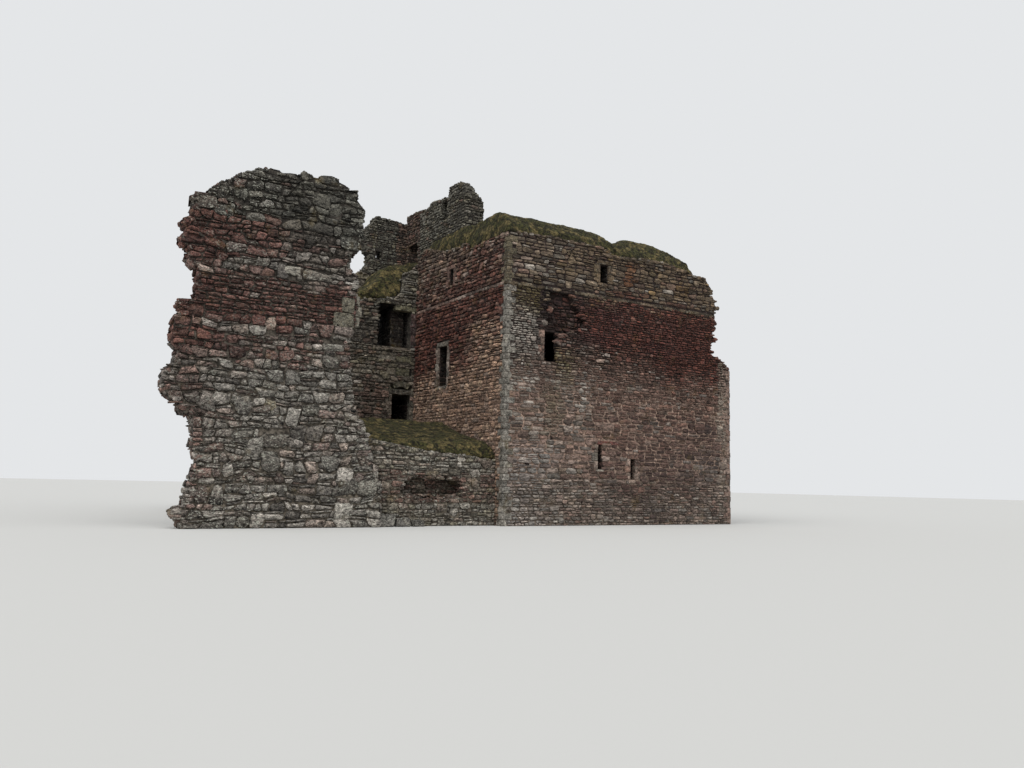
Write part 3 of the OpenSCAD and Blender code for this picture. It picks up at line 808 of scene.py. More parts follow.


# Stains on the gable, and painted shade round the pocket above the hall window: along from, to, height from, to,
# softness, colour, strength
WASHES = [
    (2.75, 3.5, 6.5, 7.9, 0.25, "#625c36", 0.65),
    (2.2, 2.9, 4.1, 6.6, 0.3, "#5c5140", 0.5),
    # painted shade: a near-black sheet over the pocket where the facing has fallen
    (1.7, 4.2, 8.3, 10.6, 0.4, "#241b1a", 0.7),
    (6.8, 7.3, 11.5, 12.5, 0.15, "#603c24", 0.55),
    (8.25, 8.75, 10.9, 12.4, 0.2, "#524a32", 0.55),
    (10.1, 10.9, 11.4, 12.0, 0.25, "#5e4728", 0.5),
    (2.9, 3.9, 11.7, 12.4, 0.3, "#57482c", 0.4),
    (0.5, 1.6, 9.5, 10.7, 0.3, "#564c30", 0.5),
    (9.5, 12.6, 8.2, 9.8, 0.5, "#4e2f29", 0.5),
    (4.0, 9.0, 8.6, 10.0, 0.5, "#46292a", 0.35),
    (0.3, 1.4, 6.2, 9.4, 0.4, "#a39d93", 0.32),
    (0.3, 2.6, 0.0, 3.2, 0.7, "#8a8783", 0.24),
    (6.0, 14.0, 0.8, 4.6, 1.0, "#2a2324", 0.38),
    (13.0, 14.0, 0.8, 8.2, 0.2, "#8f8679", 0.45),
]


def wash(colours, p, seed):
    """Colours with the gable's stains, and the painted shade round its pocket, over them."""
    u, _, z = survey(p)
    for a0, a1, h0, h1, soft, tone, strength in WASHES:
        weight = bump(u, a0, a1, soft) * bump(z, h0, h1, soft) * strength
        weight = weight * np.clip(0.9 + 0.8 * patches(p, seed, 0.5), 0, 1.4)
        colours = colours + (np.array(linear(tone)) - colours) * np.clip(weight, 0, 1)[:, None]
    return colours


def shaded(colours, facet, p):
    """Colours darkened inside openings and pockets, painted shade where little daylight reaches; the wing's opening
    and the garret doorway are also made redder.
    """
    if not upright(facet) and facet.normal[2] > 0:
        return colours
    u, v, z = survey(p)
    deep, soft = WALL_T - 0.05, 0.12  # the rooms begin at deep; the dimming grows over soft behind each face
    niche_depth, slow = 1.5, 0.36  # the pocket beside the gable's hall window, where it grows more slowly
    into = np.minimum.reduce([u, v, GABLE_L - u, BLOCK_D - v])
    pocket = bump(u, 1.6, 4.9, 0.1) * bump(z, 8.9, 11.4, 0.1) * (v < niche_depth)
    block = ramp(into - 0.1 * pocket, 0.0, soft + slow * pocket) * (into < deep) * (z < STRING_Z + 1.9)
    niche = bump(u, 2.1, 2.6, 0.1) * bump(z, 8.85, 10.5, 0.15) * (v < niche_depth)
    into = v - WING_Y
    wing = ramp(into, 0.0, soft) * (into < deep) * (u < 0) * (u > -2.3) * (z < STRING_Z + 0.45)
    red = np.maximum(wing, bump(v, 10.3, 12.0, 0.1) * (z > STRING_Z + 2) * (u > 0) * (u < 2.5))
    # painted shade: up to 0.92 darker deep in the openings, the pocket and the niche beside the hall window
    dim = 1 - 0.92 * np.maximum.reduce([block, wing, 0.8 * niche])
    return colours * dim[:, None] * (1 - red[:, None] * np.array((0.0, 0.28, 0.3)))


def inside_test():
    """A function that tells which points lie inside earth or masonry, where a stone can't be seen."""
    trees = []
    for name in frame["nodes"]:
        points = node_triangles(name).reshape(-1, 3)
        tree = BVHTree.FromPolygons([Vector(p) for p in points], np.arange(len(points)).reshape(-1, 3).tolist())
        trees.append((tree, points.min(0), points.max(0)))
    way = Vector((0.123, 0.217, 0.968)).normalized()  # no face of the keep lies along it
    most, onward = 40, 1e-4  # crossings that are counted, and how far past each one the next is looked for

    def crossings(tree, start):
        for hits in range(most):
            place, _, _, _ = tree.ray_cast(start, way)
            if place is None:
                return hits
            start = place + way * onward
        return most

    def inside(points):
        hidden = np.zeros(len(points), bool)
        for tree, low, high in trees:
            for i in np.where(((points > low) & (points < high)).all(1) & ~hidden)[0]:
                hidden[i] = crossings(tree, Vector(points[i])) % 2 == 1
        return hidden
    return inside


def wall_look(name):
    """How each kind of wall is laid, with the sizes of the sidebar."""
    sizes = bpy.context.scene.keep_sizes
    course, stone, proud = sizes.course, sizes.stone, sizes.proud
    joints = {"bed": sizes.bed, "perp": sizes.perp}
    above = (STRING_Z, 99.0)
    bands = ((6.2, 7.0, 0.6), (7.7, 9.2, 0.5), (10.2, 11.0, 0.55))  # where the fragment has thin red slabs
    boulders = {"big": 0.14, "thin": 0.4, "split": (0.16, 0.4), "wander": 0.25, "ragged": 0.12, "bands": bands}
    return {
        "main": Look(course, stone, proud, ragged=0.09, **joints,
                     bands=((1.9, 5.6, 1.35), (6.4, STRING_Z, 0.78), (*above, 1.3)),
                     relief=((1.5, 3.5, 6.5, 8.0, STRING_Z), (0.85, 0.7, 0.9, 1.35, 1.1))),
        "left": Look((0.12, 0.22), (0.17, 0.5), proud, rough=0.11, lean=0.2, relief=((5.0, 7.5), (0.8, 1.35)),
                     **joints),
        "coarse": Look((0.14, 0.25), (0.25, 0.7), (0.02, 0.06), bands=((*above, 1.2),), **joints),
        "boulder": Look(sizes.boulder_course, sizes.boulder, (0.03, 0.12), bed=0.036, perp=0.03, bulge=0.045,
                        ring=12, rings=3, lean=0.35, rough=0.1, tilt=0.14, craggy=1.3, **boulders),
        "boulder_back": Look(sizes.boulder_course, sizes.boulder, (0.03, 0.1), bed=0.04, perp=0.03, bulge=0.03,
                             rings=2, cut=0.3, lean=0.25,
                             **boulders | {"big": 0.1, "thin": 0.3, "split": Look.split, "wander": 0.22}),
        "wing": Look((0.14, 0.26), (0.2, 0.6), (0.02, 0.08), bed=0.035, perp=0.025, thin=0.3, split=(0.2, 0.5),
                     rings=2, lean=0.2),
        "wing_back": Look((0.2, 0.34), (0.35, 0.9), (0.02, 0.06), thin=0.15),
        "garret": Look((0.11, 0.2), (0.16, 0.45), (0.02, 0.07), perp=0.024, thin=0.2, ragged=0.06),
        "core": Look((0.13, 0.26), (0.18, 0.5), (0.03, 0.13), bed=0.05, perp=0.05, thin=0.3, wander=0.25, rings=2,
                     lean=0.3, tilt=0.16),
        "inner": Look((0.18, 0.3), (0.3, 0.8), (0.015, 0.045), thin=0.15),
        "flags": Look((0.5, 0.8), (0.5, 1.1), (0.01, 0.03), bulge=0.002, cut=0.06, big=0.0, thin=0.0, ragged=0.0,
                      lean=0.0, rough=0.01, tilt=0.01),
    }[name]


def stone_colours(names, n, rng):
    """Colours of n stones from the named palettes, in equal parts."""
    return choose({name: np.ones(n) for name in names}, rng)


def jambs(face, centre, width, sill, head, sides=(-1, 1), top=0.26, foot=0.16, tones=("quoin", "pink_grey"),
          depth=0.14):
    """Dressed stones round an opening: (face, a0, a1, h0, h1, depth, proud, tones)."""
    out = []
    rows = max(2, round((head - sill) / 0.36))
    for side in sides:
        for i in range(rows):
            wide = 0.34 if (i + (side > 0)) % 2 else 0.2
            inner = centre + side * width / 2
            a0, a1 = sorted((inner, inner + side * wide))
            h0 = sill + (head - sill) * i / rows
            out.append((face, a0, a1, h0, h0 + (head - sill) / rows, depth, 0.035, tones))
    if top:
        out.append((face, centre - width / 2 - 0.18, centre + width / 2 + 0.2, head, head + top, depth, 0.04, tones))
    if foot:
        out.append((face, centre - width / 2 - 0.1, centre + width / 2 + 0.1, sill - foot, sill, depth, 0.03, tones))
    return out


def quoins(x, y, sx, sy, z1, size):
    """Corner stones as world boxes, long arm and short arm by turns, none quite like the next."""
    out = []
    short, long, high = size
    rows = max(1, round(z1 / high))
    for i in range(rows):
        swing = 1 + 0.22 * math.sin(2.4 * i)
        a, b = (long * swing, short) if i % 2 else (short, long * swing)
        proud = 0.025 + 0.008 * math.sin(1.7 * i)
        xs, ys = sorted((x - sx * proud, x + sx * a)), sorted((y - sy * proud, y + sy * b))
        out.append((np.array((xs[0], ys[0], z1 * i / rows)), np.array((xs[1], ys[1], z1 * (i + 1) / rows))))
    return out


def all_quoins():
    """The corner stones of the five outer corners, up to where each has broken off."""
    size = tuple(bpy.context.scene.keep_sizes.quoin)
    x0, y0, x1, y1 = CORNER.x, CORNER.y, CORNER.x + GABLE_L, CORNER.y + BLOCK_D
    wing_x, wing_y, wing_top = x0 + WING_X, y0 + WING_Y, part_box("wing_end_wall")[1].z - 0.3
    corners = ((x0, y0, 1, 1, 12.8), (x1, y0, -1, 1, HALL_Z + 3.3), (x1, y1, -1, -1, 12.7),
               (wing_x, wing_y, 1, 1, wing_top), (wing_x, y1, 1, -1, wing_top))
    return [stone for corner in corners for stone in quoins(*corner, size)]


def window_stones():
    """Every dressed opening of the main block; depth 0.05 is a thin facing, because stones show in the reveal."""
    thin = {"foot": 0, "depth": 0.05}
    out = jambs("gable", 7.20, 0.26, 2.13, 3.10, top=0.24, tones=("low_red", "pink_grey"))
    out += jambs("gable", 5.25, 0.26, 2.57, 3.71, sides=(-1,), top=0, foot=0.12)
    out.append(("gable", 5.08, 6.35, 3.71, 3.88, 0.14, 0.03, ("lintel_red",)))
    out += jambs("gable", 2.36, 0.68, 7.33, 8.74, sides=(-1,), top=0, tones=("pink_grey", "red_brown"), **thin)
    out += jambs("gable", 5.40, 0.49, 11.38, 12.27, top=0.2, tones=("parapet",), **thin)
    out += jambs("left", 5.90, 0.90, 6.53, 8.50, top=0.24, foot=0.15, depth=0.05)
    out += jambs("left", 5.25, 0.45, 11.42, 12.30, top=0.2, tones=("red_brown",), **thin)
    for face, slits, windows, upper in (("right", (6.5, 11.5), (6.5, 11.5), 9.1),
                                        ("rear", (5.25, 8.45), (6.85,), 6.85)):
        for middle in slits:
            out += jambs(face, middle, 0.26, 2.3, 3.4, top=0.22)
        for middle in windows:
            out += jambs(face, middle, 0.60, 6.53, 8.56)
        out += jambs(face, upper, 0.35, 11.45, 12.42, top=0, foot=0.12, tones=("parapet", "red_brown"))
    return out


# Single blocks of the wing's entrance face: along, height, depth, how far proud and palettes
WING_BLOCKS = (
    (-2.4, -0.28, 8.6, 8.75, 0.4, 0.04, ("wing",)), (-1.2, 0.0, 10.72, 11.0, 0.4, 0.04, ("olive",)),
    (-1.1, -0.28, 8.0, 8.3, 0.3, 0.04, ("olive",)), (-2.1, -1.15, 8.02, 8.28, 0.3, 0.04, ("wing",)),
    (-1.6, -1.12, 7.3, 7.66, 0.3, 0.03, ("wing", "olive")),
)


def wing_stones():
    """Door jambs, the dressings of the broken opening and single blocks of the wing's entrance face."""
    out = jambs("wing", -0.74, 1.04, DOOR_Z, 6.29, sides=(-1,), top=0, foot=0, tones=("wing", "red_brown"))
    out += [("wing", -0.22, 0.0, DOOR_Z + 0.42 * i, DOOR_Z + 0.42 * (i + 1), 0.3, 0.03, ("wing",)) for i in range(4)]
    # painted shade: the broken opening's jamb takes the darkest palette, as it stands in the opening's shadow
    out += [("wing", -0.30, 0.0, 8.75 + 0.38 * i, 9.11 + 0.38 * i, 0.4, 0.03, ("deep_shade",)) for i in range(5)]
    return out + [("wing", *block) for block in WING_BLOCKS]


# The largest single blocks of the forework: along, height and palettes; the squared ones stand out further
PALE = ("grey", "quoin")
DARK = ("dark_grey",)
SQUARED = ("olive", "quoin")
FRAGMENT_BLOCKS = (
    (-10.5, -9.4, 2.92, 3.42, PALE), (-10.4, -9.7, 2.05, 2.8, PALE), (-7.5, -6.62, 1.22, 1.9, PALE),
    (-6.6, -5.75, 1.22, 1.9, PALE), (-10.55, -10.1, 7.3, 7.75, ("pink_grey",)), (-7.92, -7.06, 7.71, 8.31, SQUARED),
    (-7.6, -7.06, 8.33, 8.94, SQUARED), (-7.8, -6.95, 10.85, 11.45, DARK), (-11.95, -11.4, 12.05, 12.55, DARK),
    (-9.9, -9.3, 9.5, 9.85, PALE), (-9.2, -8.0, 9.4, 9.8, PALE), (-8.3, -7.4, 6.75, 7.05, PALE),
    (-7.55, -6.8, 0.35, 0.95, PALE), (-9.0, -8.3, 4.2, 4.6, PALE), (-10.4, -9.9, 4.3, 4.7, ("olive", "pink_grey")),
    (-8.1, -7.5, 2.1, 2.75, PALE), (-12.6, -11.9, 11.3, 11.75, DARK),
)


def fragment_stones():
    """The same as stones set in the plane of the gable, where the fragment's front lies."""
    return [("gable", *place, 0.4, 0.11 if tones == SQUARED else 0.06, tones) for *place, tones in FRAGMENT_BLOCKS]


# Small holes that no stone may cover: face, middle along, middle height, half width, half height
SMALL_HOLES = (("wing", -0.25, 7.5, 0.1, 0.24), ("wing", -2.37, 6.37, 0.13, 0.12),
               ("garret", -1.08, 14.29, 0.25, 0.3))


def nodes_of(group):
    """The nodes of a group that are faced with rubble."""
    return [name for name in frame["nodes"] if name.startswith(GROUPS[group]) and name.endswith(RUBBLE_ENDINGS)]


class Site:
    """What every operator needs: facets, what is reserved, what hides a stone. Made when first asked for."""
    facets = {}
    inside = None
    ball = None
    block = None
    reserved = []

    @classmethod
    def ready(cls):
        """Makes everything on the first call"""
        if not cls.facets:
            cls.inside = inside_test()
            cls.ball = rock_ball()
            cls.block = squared_block()
            cls.reserved = all_quoins()
            for face, a0, a1, h0, h1, depth, *_ in window_stones() + wing_stones() + fragment_stones():
                cls.reserve(FACES[face].at(a0, h0, -depth), FACES[face].at(a1, h1, 0.05))
            for face, a, h, wide, high in SMALL_HOLES:
                cls.reserve(FACES[face].at(a - wide, h - high, -0.05), FACES[face].at(a + wide, h + high, 0.05))
            table = triangle_table()
            cls.facets = {group: facets_of(nodes_of(group), table) for group in GROUPS}
        return cls

    @classmethod
    def reserve(cls, *ends):
        """Keeps the box between two of its corners clear of rubble"""
        cls.reserved.append((np.min(ends, 0), np.max(ends, 0)))

    @classmethod
    def hidden(cls, points):
        """True where nothing can be seen: inside the masonry, or shut away from daylight"""
        return cls.inside(points) | shut_away(points)

    @classmethod
    def taken(cls, points):
        """True where a dressed stone is, or near one"""
        near = 0.1
        out = np.zeros(len(points), bool)
        for low, high in cls.reserved:
            out |= ((points > low - near) & (points < high + near)).all(1)
        return out


def shut_away(points):
    """True deep in the walls' openings and in the cellars and the vaulted hall, which no daylight reaches."""
    reach, skin, gable_end = 0.9, 0.02, GABLE_L - 1.2
    u, v, z = survey(points)
    depth = np.minimum.reduce([u, v, BLOCK_D - v, gable_end - u])
    in_wing = (u > WING_X + reach) & (u < 0.1) & (v > WING_Y + reach) & (v < BLOCK_D - reach) & (z < DOOR_Z - skin)
    return (depth > reach) & (z < STRING_Z - skin) | in_wing


def lay(name, slot, seed, group, chosen, look, weights, material, lichen=0.3, stains_and_shade=False):
    """Lays stones on the chosen facets of a group of nodes as one piece."""
    site = Site.ready()
    rng = np.random.default_rng(seed)
    work = Masonry(name, slot, rng)
    look = wall_look(look)
    for facet in filter(chosen, site.facets[group]):
        quads = lay_courses(facet, look, rng, site.hidden)
        if len(quads) == 0:
            continue
        places = facet.point(*quads.mean(1).T, 0.0)
        colours = choose(weights(places), rng)
        if stains_and_shade:
            colours = wash(colours, places, seed)
        colours = shaded(colours, facet, places)
        redness = (colours[:, 0] - colours[:, 2]) / colours.max(1)
        spread = np.clip(lichen + 0.5 * patches(places, seed, 1.3) + rng.normal(0, 0.2, len(quads)), 0, 1)
        work.add(facet, quads, look, colours, spread * np.clip(1.3 - 1.6 * redness, 0.3, 1.0))
    work.finish(material_named(material))


def square(name, slot, seed, stones, *replaced, bevel=0.022):
    """Squared stones set in their faces as one piece."""
    rng = np.random.default_rng(seed)
    work = Masonry(name, slot, rng)
    for face, a0, a1, h0, h1, depth, proud, tones in stones:
        wall = FACES[face]
        half = ((a1 - a0) / 2 + 0.004, (h1 - h0) / 2 - 0.006, (proud + depth) / 2)
        work.add_box(wall.at((a0 + a1) / 2, (h0 + h1) / 2, (proud - depth) / 2), wall.axes(), half, bevel,
                     stone_colours(tones, 1, rng)[0])
    work.finish(material_named("dressed_sandstone"), *replaced)


def centre_of(facet):
    return facet.point(*facet.tris.reshape(-1, 2).mean(0), 0.0)


def upright(facet):
    return abs(facet.normal[2]) < 0.3


def level(facet):
    return facet.normal[2] > 0.99


def below(facet):
    return facet.normal[2] <= -0.99


def faces_us(facet):
    return facet.normal[1] < -0.999


def outer(facet):
    """Which outer face of the main block a facet is, or None."""
    for name in ("gable", "left", "right", "rear"):
        out = FACES[name].out
        if facet.normal @ out > 0.999 and abs(facet.offset - FACES[name].start @ out) < FLUSH:
            return name
    return None


def belongs(facet, *starts):
    return any(name.startswith(starts) for name in facet.names)


def add_node(tree, kind, links, **settings):
    """One shader node with its settings, and links {input: value or output socket}."""
    node = tree.nodes.new("ShaderNode" + kind)
    for key, value in settings.items():
        setattr(node, key, value)
    for socket, value in links.items():
        if isinstance(value, bpy.types.NodeSocket):
            tree.links.new(value, node.inputs[socket])
        else:
            node.inputs[socket].default_value = value
    return node


# Which inputs a recipe fills on each kind of node, in order (else the first ones), and which output it hands on
# (else the first)
INPUTS = {
    "TexNoise": ("Vector", "Scale", "Detail", "Roughness"),
    "Mapping": ("Vector", "Scale"),
    "Mix": (0, 6, 7),
    "Bump": ("Strength", "Distance", "Height", "Normal"),
    "BsdfPrincipled": ("Metallic", "IOR", "Specular IOR Level", "Base Color", "Roughness", "Normal"),
}
OUTPUTS = {"TexCoord": "Object", "SeparateXYZ": "Z", "Mix": 2, "LightPath": "Is Camera Ray"}
OVER = {"data_type": "RGBA", "blend_type": "MIX"}
TIMES = {"data_type": "RGBA", "blend_type": "MULTIPLY"}
PRODUCT = {"operation": "MULTIPLY"}
MATT = (0.0, 1.5, 0.25)  # metallic, IOR and specular level of dry stone, mortar and earth


def grow(tree, recipe):
    """A node tree from rows of name, kind, input values and settings; a word among the values is an earlier row."""
    tree.nodes.clear()
    sockets = {}
    for name, kind, values, *settings in recipe:
        links = {place: sockets[value] if isinstance(value, str) else value
                 for place, value in zip(INPUTS.get(kind, range(len(values))), values)}
        node = add_node(tree, kind, links, **dict(*settings))
        if node.outputs:
            sockets[name] = node.outputs[OUTPUTS.get(kind, 0)]
        if kind == "Attribute":
            sockets[name + " alpha"] = node.outputs["Alpha"]


def across(millimetres):
    """The scale of a noise whose patches are this far across."""
    return 1000 / millimetres


def rubble_recipe(colours, smeared, crust, bedding, grit):
    """Weathered building stone: matt, bedded and mottled within each stone, pitted and crusted with lichen.

    The blotches are about 150 mm across, damp stains 0.8 m, lichen spots 90 mm, pits 75 mm and smears of mortar
    140 mm. Real grit is finer than the render can show, so it is drawn 60 mm coarse.
    """
    smear = [
        ("height", "SeparateXYZ", ("where",)),
        ("low", "MapRange", ("height", 4.5, 6.8, 0.16, 0.0)),
        ("smear", "TexNoise", ("where", across(142.9), 7.0, 0.75)),
        ("smear", "MapRange", ("smear", 0.52, 0.58)),
        ("above", "MapRange", ("height", 1.6, 3.2)),
        ("smear", "Math", ("smear", "above"), PRODUCT),
        ("smear", "Math", ("smear", "low"), PRODUCT),
        ("tone", "Mix", ("smear", "tone", colours["mortar_low"]), OVER),
    ]
    return [
        ("where", "TexCoord", ()),
        ("bedded", "Mapping", ("where", bedding)),
        ("tint", "Attribute", (), {"attribute_name": "tint"}),
        ("coarse", "TexNoise", ("bedded", across(153.8), 2.0, 0.6)),
        ("fine", "TexNoise", ("bedded", across(62.5), 2.0, 0.7)),
        ("blotches", "MapRange", ("coarse", 0.3, 0.7, 0.2, 1.85)),
        ("tone", "Mix", (1.0, "tint", "blotches"), TIMES),
        ("grit", "MapRange", ("fine", 0.3, 0.7, 1 - grit, 1 + grit)),
        ("tone", "Mix", (1.0, "tone", "grit"), TIMES),
        ("stains", "TexNoise", ("where", across(769), 4.0, 0.6)),
        ("stains", "MapRange", ("stains", 0.58, 0.74, 0.0, 0.3)),
        ("tone", "Mix", ("stains", "tone", colours["ochre"]), OVER),
        ("spots", "TexNoise", ("bedded", across(90.9), 3.0, 0.6)),
        ("spots", "MapRange", ("spots", 0.56, 0.63, 0.0, crust)),
        ("spots", "Math", ("spots", "tint alpha"), PRODUCT),
        ("tone", "Mix", ("spots", "tone", colours["lichen"]), OVER),
        *(smear if smeared else []),
        ("pits", "TexNoise", ("bedded", across(76.9), 3.0, 0.6)),
        ("pits", "MapRange", ("pits", 0.59, 0.68)),
        ("tone", "Mix", ("pits", "tone", opaque("#1f1d19")), OVER),
        ("roughness", "MapRange", ("coarse", 0.2, 0.8, 0.82, 0.98)),
        ("lumps", "Bump", (1.0, 0.08, "coarse")),
        ("grain", "Bump", (0.9, 0.03, "fine", "lumps")),
        ("shader", "BsdfPrincipled", (*MATT, "tone", "roughness", "grain")),
        ("output", "OutputMaterial", ("shader",)),
    ]


def mortar_recipe(foot, low, high, heights):
    """Lime mortar: grimy at the foot, washed pale above, dark where it has weathered out.

    The sand and gravel are drawn 100 mm and 45 mm coarse to show, in clouds about 0.4 m across. The heights where
    one colour gives way to the next sway by up to 3 m.
    """
    sway = 3.0
    foot_end, low_full, low_end, high_full = (height + sway / 2 for height in heights)
    return [
        ("where", "TexCoord", ()),
        ("height", "SeparateXYZ", ("where",)),
        ("level", "TexNoise", ("where", across(1111), 4.0, 0.6)),
        ("level", "Math", ("level", sway, "height"), {"operation": "MULTIPLY_ADD"}),
        ("washed", "MapRange", ("level", foot_end, low_full)),
        ("tone", "Mix", ("washed", foot, low), OVER),
        ("bare", "MapRange", ("level", low_end, high_full)),
        ("tone", "Mix", ("bare", "tone", high), OVER),
        ("sand", "TexNoise", ("where", across(100), 2.0, 0.6)),
        ("sand", "MapRange", ("sand", 0.3, 0.7, 0.3, 1.75)),
        ("tone", "Mix", (1.0, "tone", "sand"), TIMES),
        ("clouds", "TexNoise", ("where", across(400), 2.0, 0.6)),
        ("clouds", "MapRange", ("clouds", 0.3, 0.7, 0.55, 1.5)),
        ("tone", "Mix", (1.0, "tone", "clouds"), TIMES),
        ("gravel", "TexNoise", ("where", across(45.45), 6.0, 0.75)),
        ("gravel", "Bump", (0.9, 0.03, "gravel")),
        ("shader", "BsdfPrincipled", (*MATT, "tone", 0.96, "gravel")),
        ("output", "OutputMaterial", ("shader",)),
    ]


def earth_recipe(moss, soil):
    """Mossy earth: soft, fibrous tufts about 170 mm across and dry straw over dark bare soil.

    Real moss and straw have fibres of a few millimetres, too fine to show, so their fuzz is drawn 17 mm coarse.
    """
    return [
        ("where", "TexCoord", ()),
        ("tufts", "TexNoise", ("where", across(166.7), 8.0, 0.75)),
        ("mossy", "MapRange", ("tufts", 0.44, 0.54)),
        ("tone", "Mix", ("mossy", soil, moss), OVER),
        ("straw", "TexNoise", ("where", across(454.5), 7.0, 0.75)),
        ("straw", "MapRange", ("straw", 0.5, 0.58)),
        ("tone", "Mix", ("straw", "tone", opaque("#5e5334")), OVER),
        ("shade", "TexNoise", ("where", across(111.1), 2.0, 0.6)),
        ("shade", "MapRange", ("shade", 0.3, 0.7, 0.15, 1.8)),
        ("tone", "Mix", (1.0, "tone", "shade"), TIMES),
        ("tufts", "Bump", (1.0, 0.12, "tufts")),
        ("fuzz", "TexNoise", ("where", across(16.67), 4.0, 0.6)),
        ("fuzz", "Bump", (0.9, 0.02, "fuzz", "tufts")),
        ("shader", "BsdfPrincipled", (*MATT, "tone", 0.97, "fuzz")),
        ("output", "OutputMaterial", ("shader",)),
    ]


def floor_recipe(colour):
    """A plain, matt, pale studio floor."""
    return [("shader", "BsdfPrincipled", (*MATT, colour, 0.9)), ("output", "OutputMaterial", ("shader",))]


# How strongly each stone is lichened, how its bedding stretches the pattern, and how gritty it is
STONE_FINISHES = {
    # soft, flat-bedded red sandstone: lichen takes hold of it slowly, and its layers draw the blotches out level
    "red_sandstone": (0.4, (0.6, 0.6, 2.0), 0.55),
    # hard river and field boulders: rough, hardly bedded and crusted all over
    "lichened_boulders": (1.0, (1.0, 1.0, 1.5), 0.85),
    # greenish-grey rubble of the sheltered inner angle: duller, with thin lichen
    "greenish_rubble": (0.7, (0.9, 0.9, 1.6), 0.7),
    # dressed sandstone: finer and more even, because it was picked and cut
    "dressed_sandstone": (0.5, (1.0, 1.0, 1.2), 0.6),
}
# Colours of the foot, the washed part and the weathered part of each mortar, and the heights between them
CLAY_MORTAR = ("#585147", "#4f4941", "#34302b"), (1.0, 3.0, 6.0, 11.0)
LIME_MORTAR = "#544b42", (1.6, 3.0, 5.6, 7.8)


def recipe_for(name):
    """The recipe of one of the keep's materials, with the colours of the sidebar."""
    chosen = bpy.context.scene.keep_colours
    colours = {key: (*getattr(chosen, key), 1) for key in KeepColours.__annotations__}
    if name == "pale_floor":
        return floor_recipe(colours["floor"])
    if name == "mossy_earth":
        return earth_recipe(colours["moss"], colours["soil"])
    if name == "lime_mortar":
        foot, heights = LIME_MORTAR
        return mortar_recipe(opaque(foot), colours["mortar_low"], colours["mortar_high"], heights)
    if name == "clay_mortar":
        tones, heights = CLAY_MORTAR
        return mortar_recipe(*map(opaque, tones), heights)
    return rubble_recipe(colours, name == "red_sandstone", *STONE_FINISHES[name])


def material_named(name):
    """The keep's materials, each made when it is first asked for."""
    if name not in bpy.data.materials:
        material = bpy.data.materials.new(name)
        material.use_nodes = True
        grow(material.node_tree, recipe_for(name))
    return bpy.data.materials[name]


class KEEP_OT_mortar(bpy.types.Operator):
    """Gives the solid walls behind the stones their mortar"""
    bl_idname = "keep.mortar"
    bl_label = "Mortar"

    def execute(self, context):
        for name, node in frame["nodes"].items():
            kind = "mossy_earth" if name in EARTH_NODES else "lime_mortar"
            if name.startswith(("tall", "low_wall", "wing", "garret", "chimney")):
                kind = "clay_mortar"
            if name in FLUSH_NODES:
                kind = "dressed_sandstone"
            node.data.materials.clear()
            node.data.materials.append(material_named(kind))
        return {"FINISHED"}


class KEEP_OT_main_faces(bpy.types.Operator):
    """Lays the coursed rubble of the main block's four outer faces"""
    bl_idname = "keep.main_faces"
    bl_label = "Main block faces"

    def execute(self, context):
        rows = (("gable", "main", gable_weights), ("left", "left", left_weights),
                ("right", "coarse", gable_weights), ("rear", "coarse", gable_weights))
        for seed, (face, look, weights) in enumerate(rows, 11):
            lay(face + "_face_stones", "red_rubble", seed, "block", lambda f: outer(f) == face, look, weights,
                "red_sandstone", stains_and_shade=face == "gable")
        return {"FINISHED"}


class KEEP_OT_broken_faces(bpy.types.Operator):
    """Lays the rough core where the main block's facing has fallen, and its open inner walls and floors"""
    bl_idname = "keep.broken_faces"
    bl_label = "Broken and inner faces"

    def execute(self, context):
        deepest = 1.9  # how far behind the gable's face its broken core reaches

        def broken(f):
            return upright(f) and belongs(f, "gable") and not outer(f) and centre_of(f)[1] < CORNER.y + deepest

        def inner(f):
            return upright(f) and not outer(f) and not broken(f)

        lay("gable_core", "red_rubble", 21, "block", broken, "core", shaded_core_weights, "red_sandstone")
        lay("inner_stones", "red_rubble", 22, "block", inner, "inner", inner_weights, "greenish_rubble")
        lay("upper_floor", "grey_rubble", 23, "block", lambda f: level(f) and belongs(f, "upper_vault"), "flags",
            wing_weights, "greenish_rubble")
        return {"FINISHED"}


class KEEP_OT_wing(bpy.types.Operator):
    """Lays the wing's walls inside and out, and its floor"""
    bl_idname = "keep.wing"
    bl_label = "Wing"

    def execute(self, context):
        def front(f):
            return faces_us(f) and abs(f.offset + CORNER.y + WING_Y) < FLUSH

        lay("wing_front_stones", "grey_rubble", 31, "wing", front, "wing", wing_weights, "greenish_rubble", 0.45)
        lay("wing_stones", "grey_rubble", 32, "wing", lambda f: upright(f) and not front(f), "wing_back",
            wing_weights, "greenish_rubble")
        lay("wing_floor", "grey_rubble", 33, "wing", lambda f: level(f) and belongs(f, "wing_vault"), "flags",
            wing_weights, "greenish_rubble")
        return {"FINISHED"}


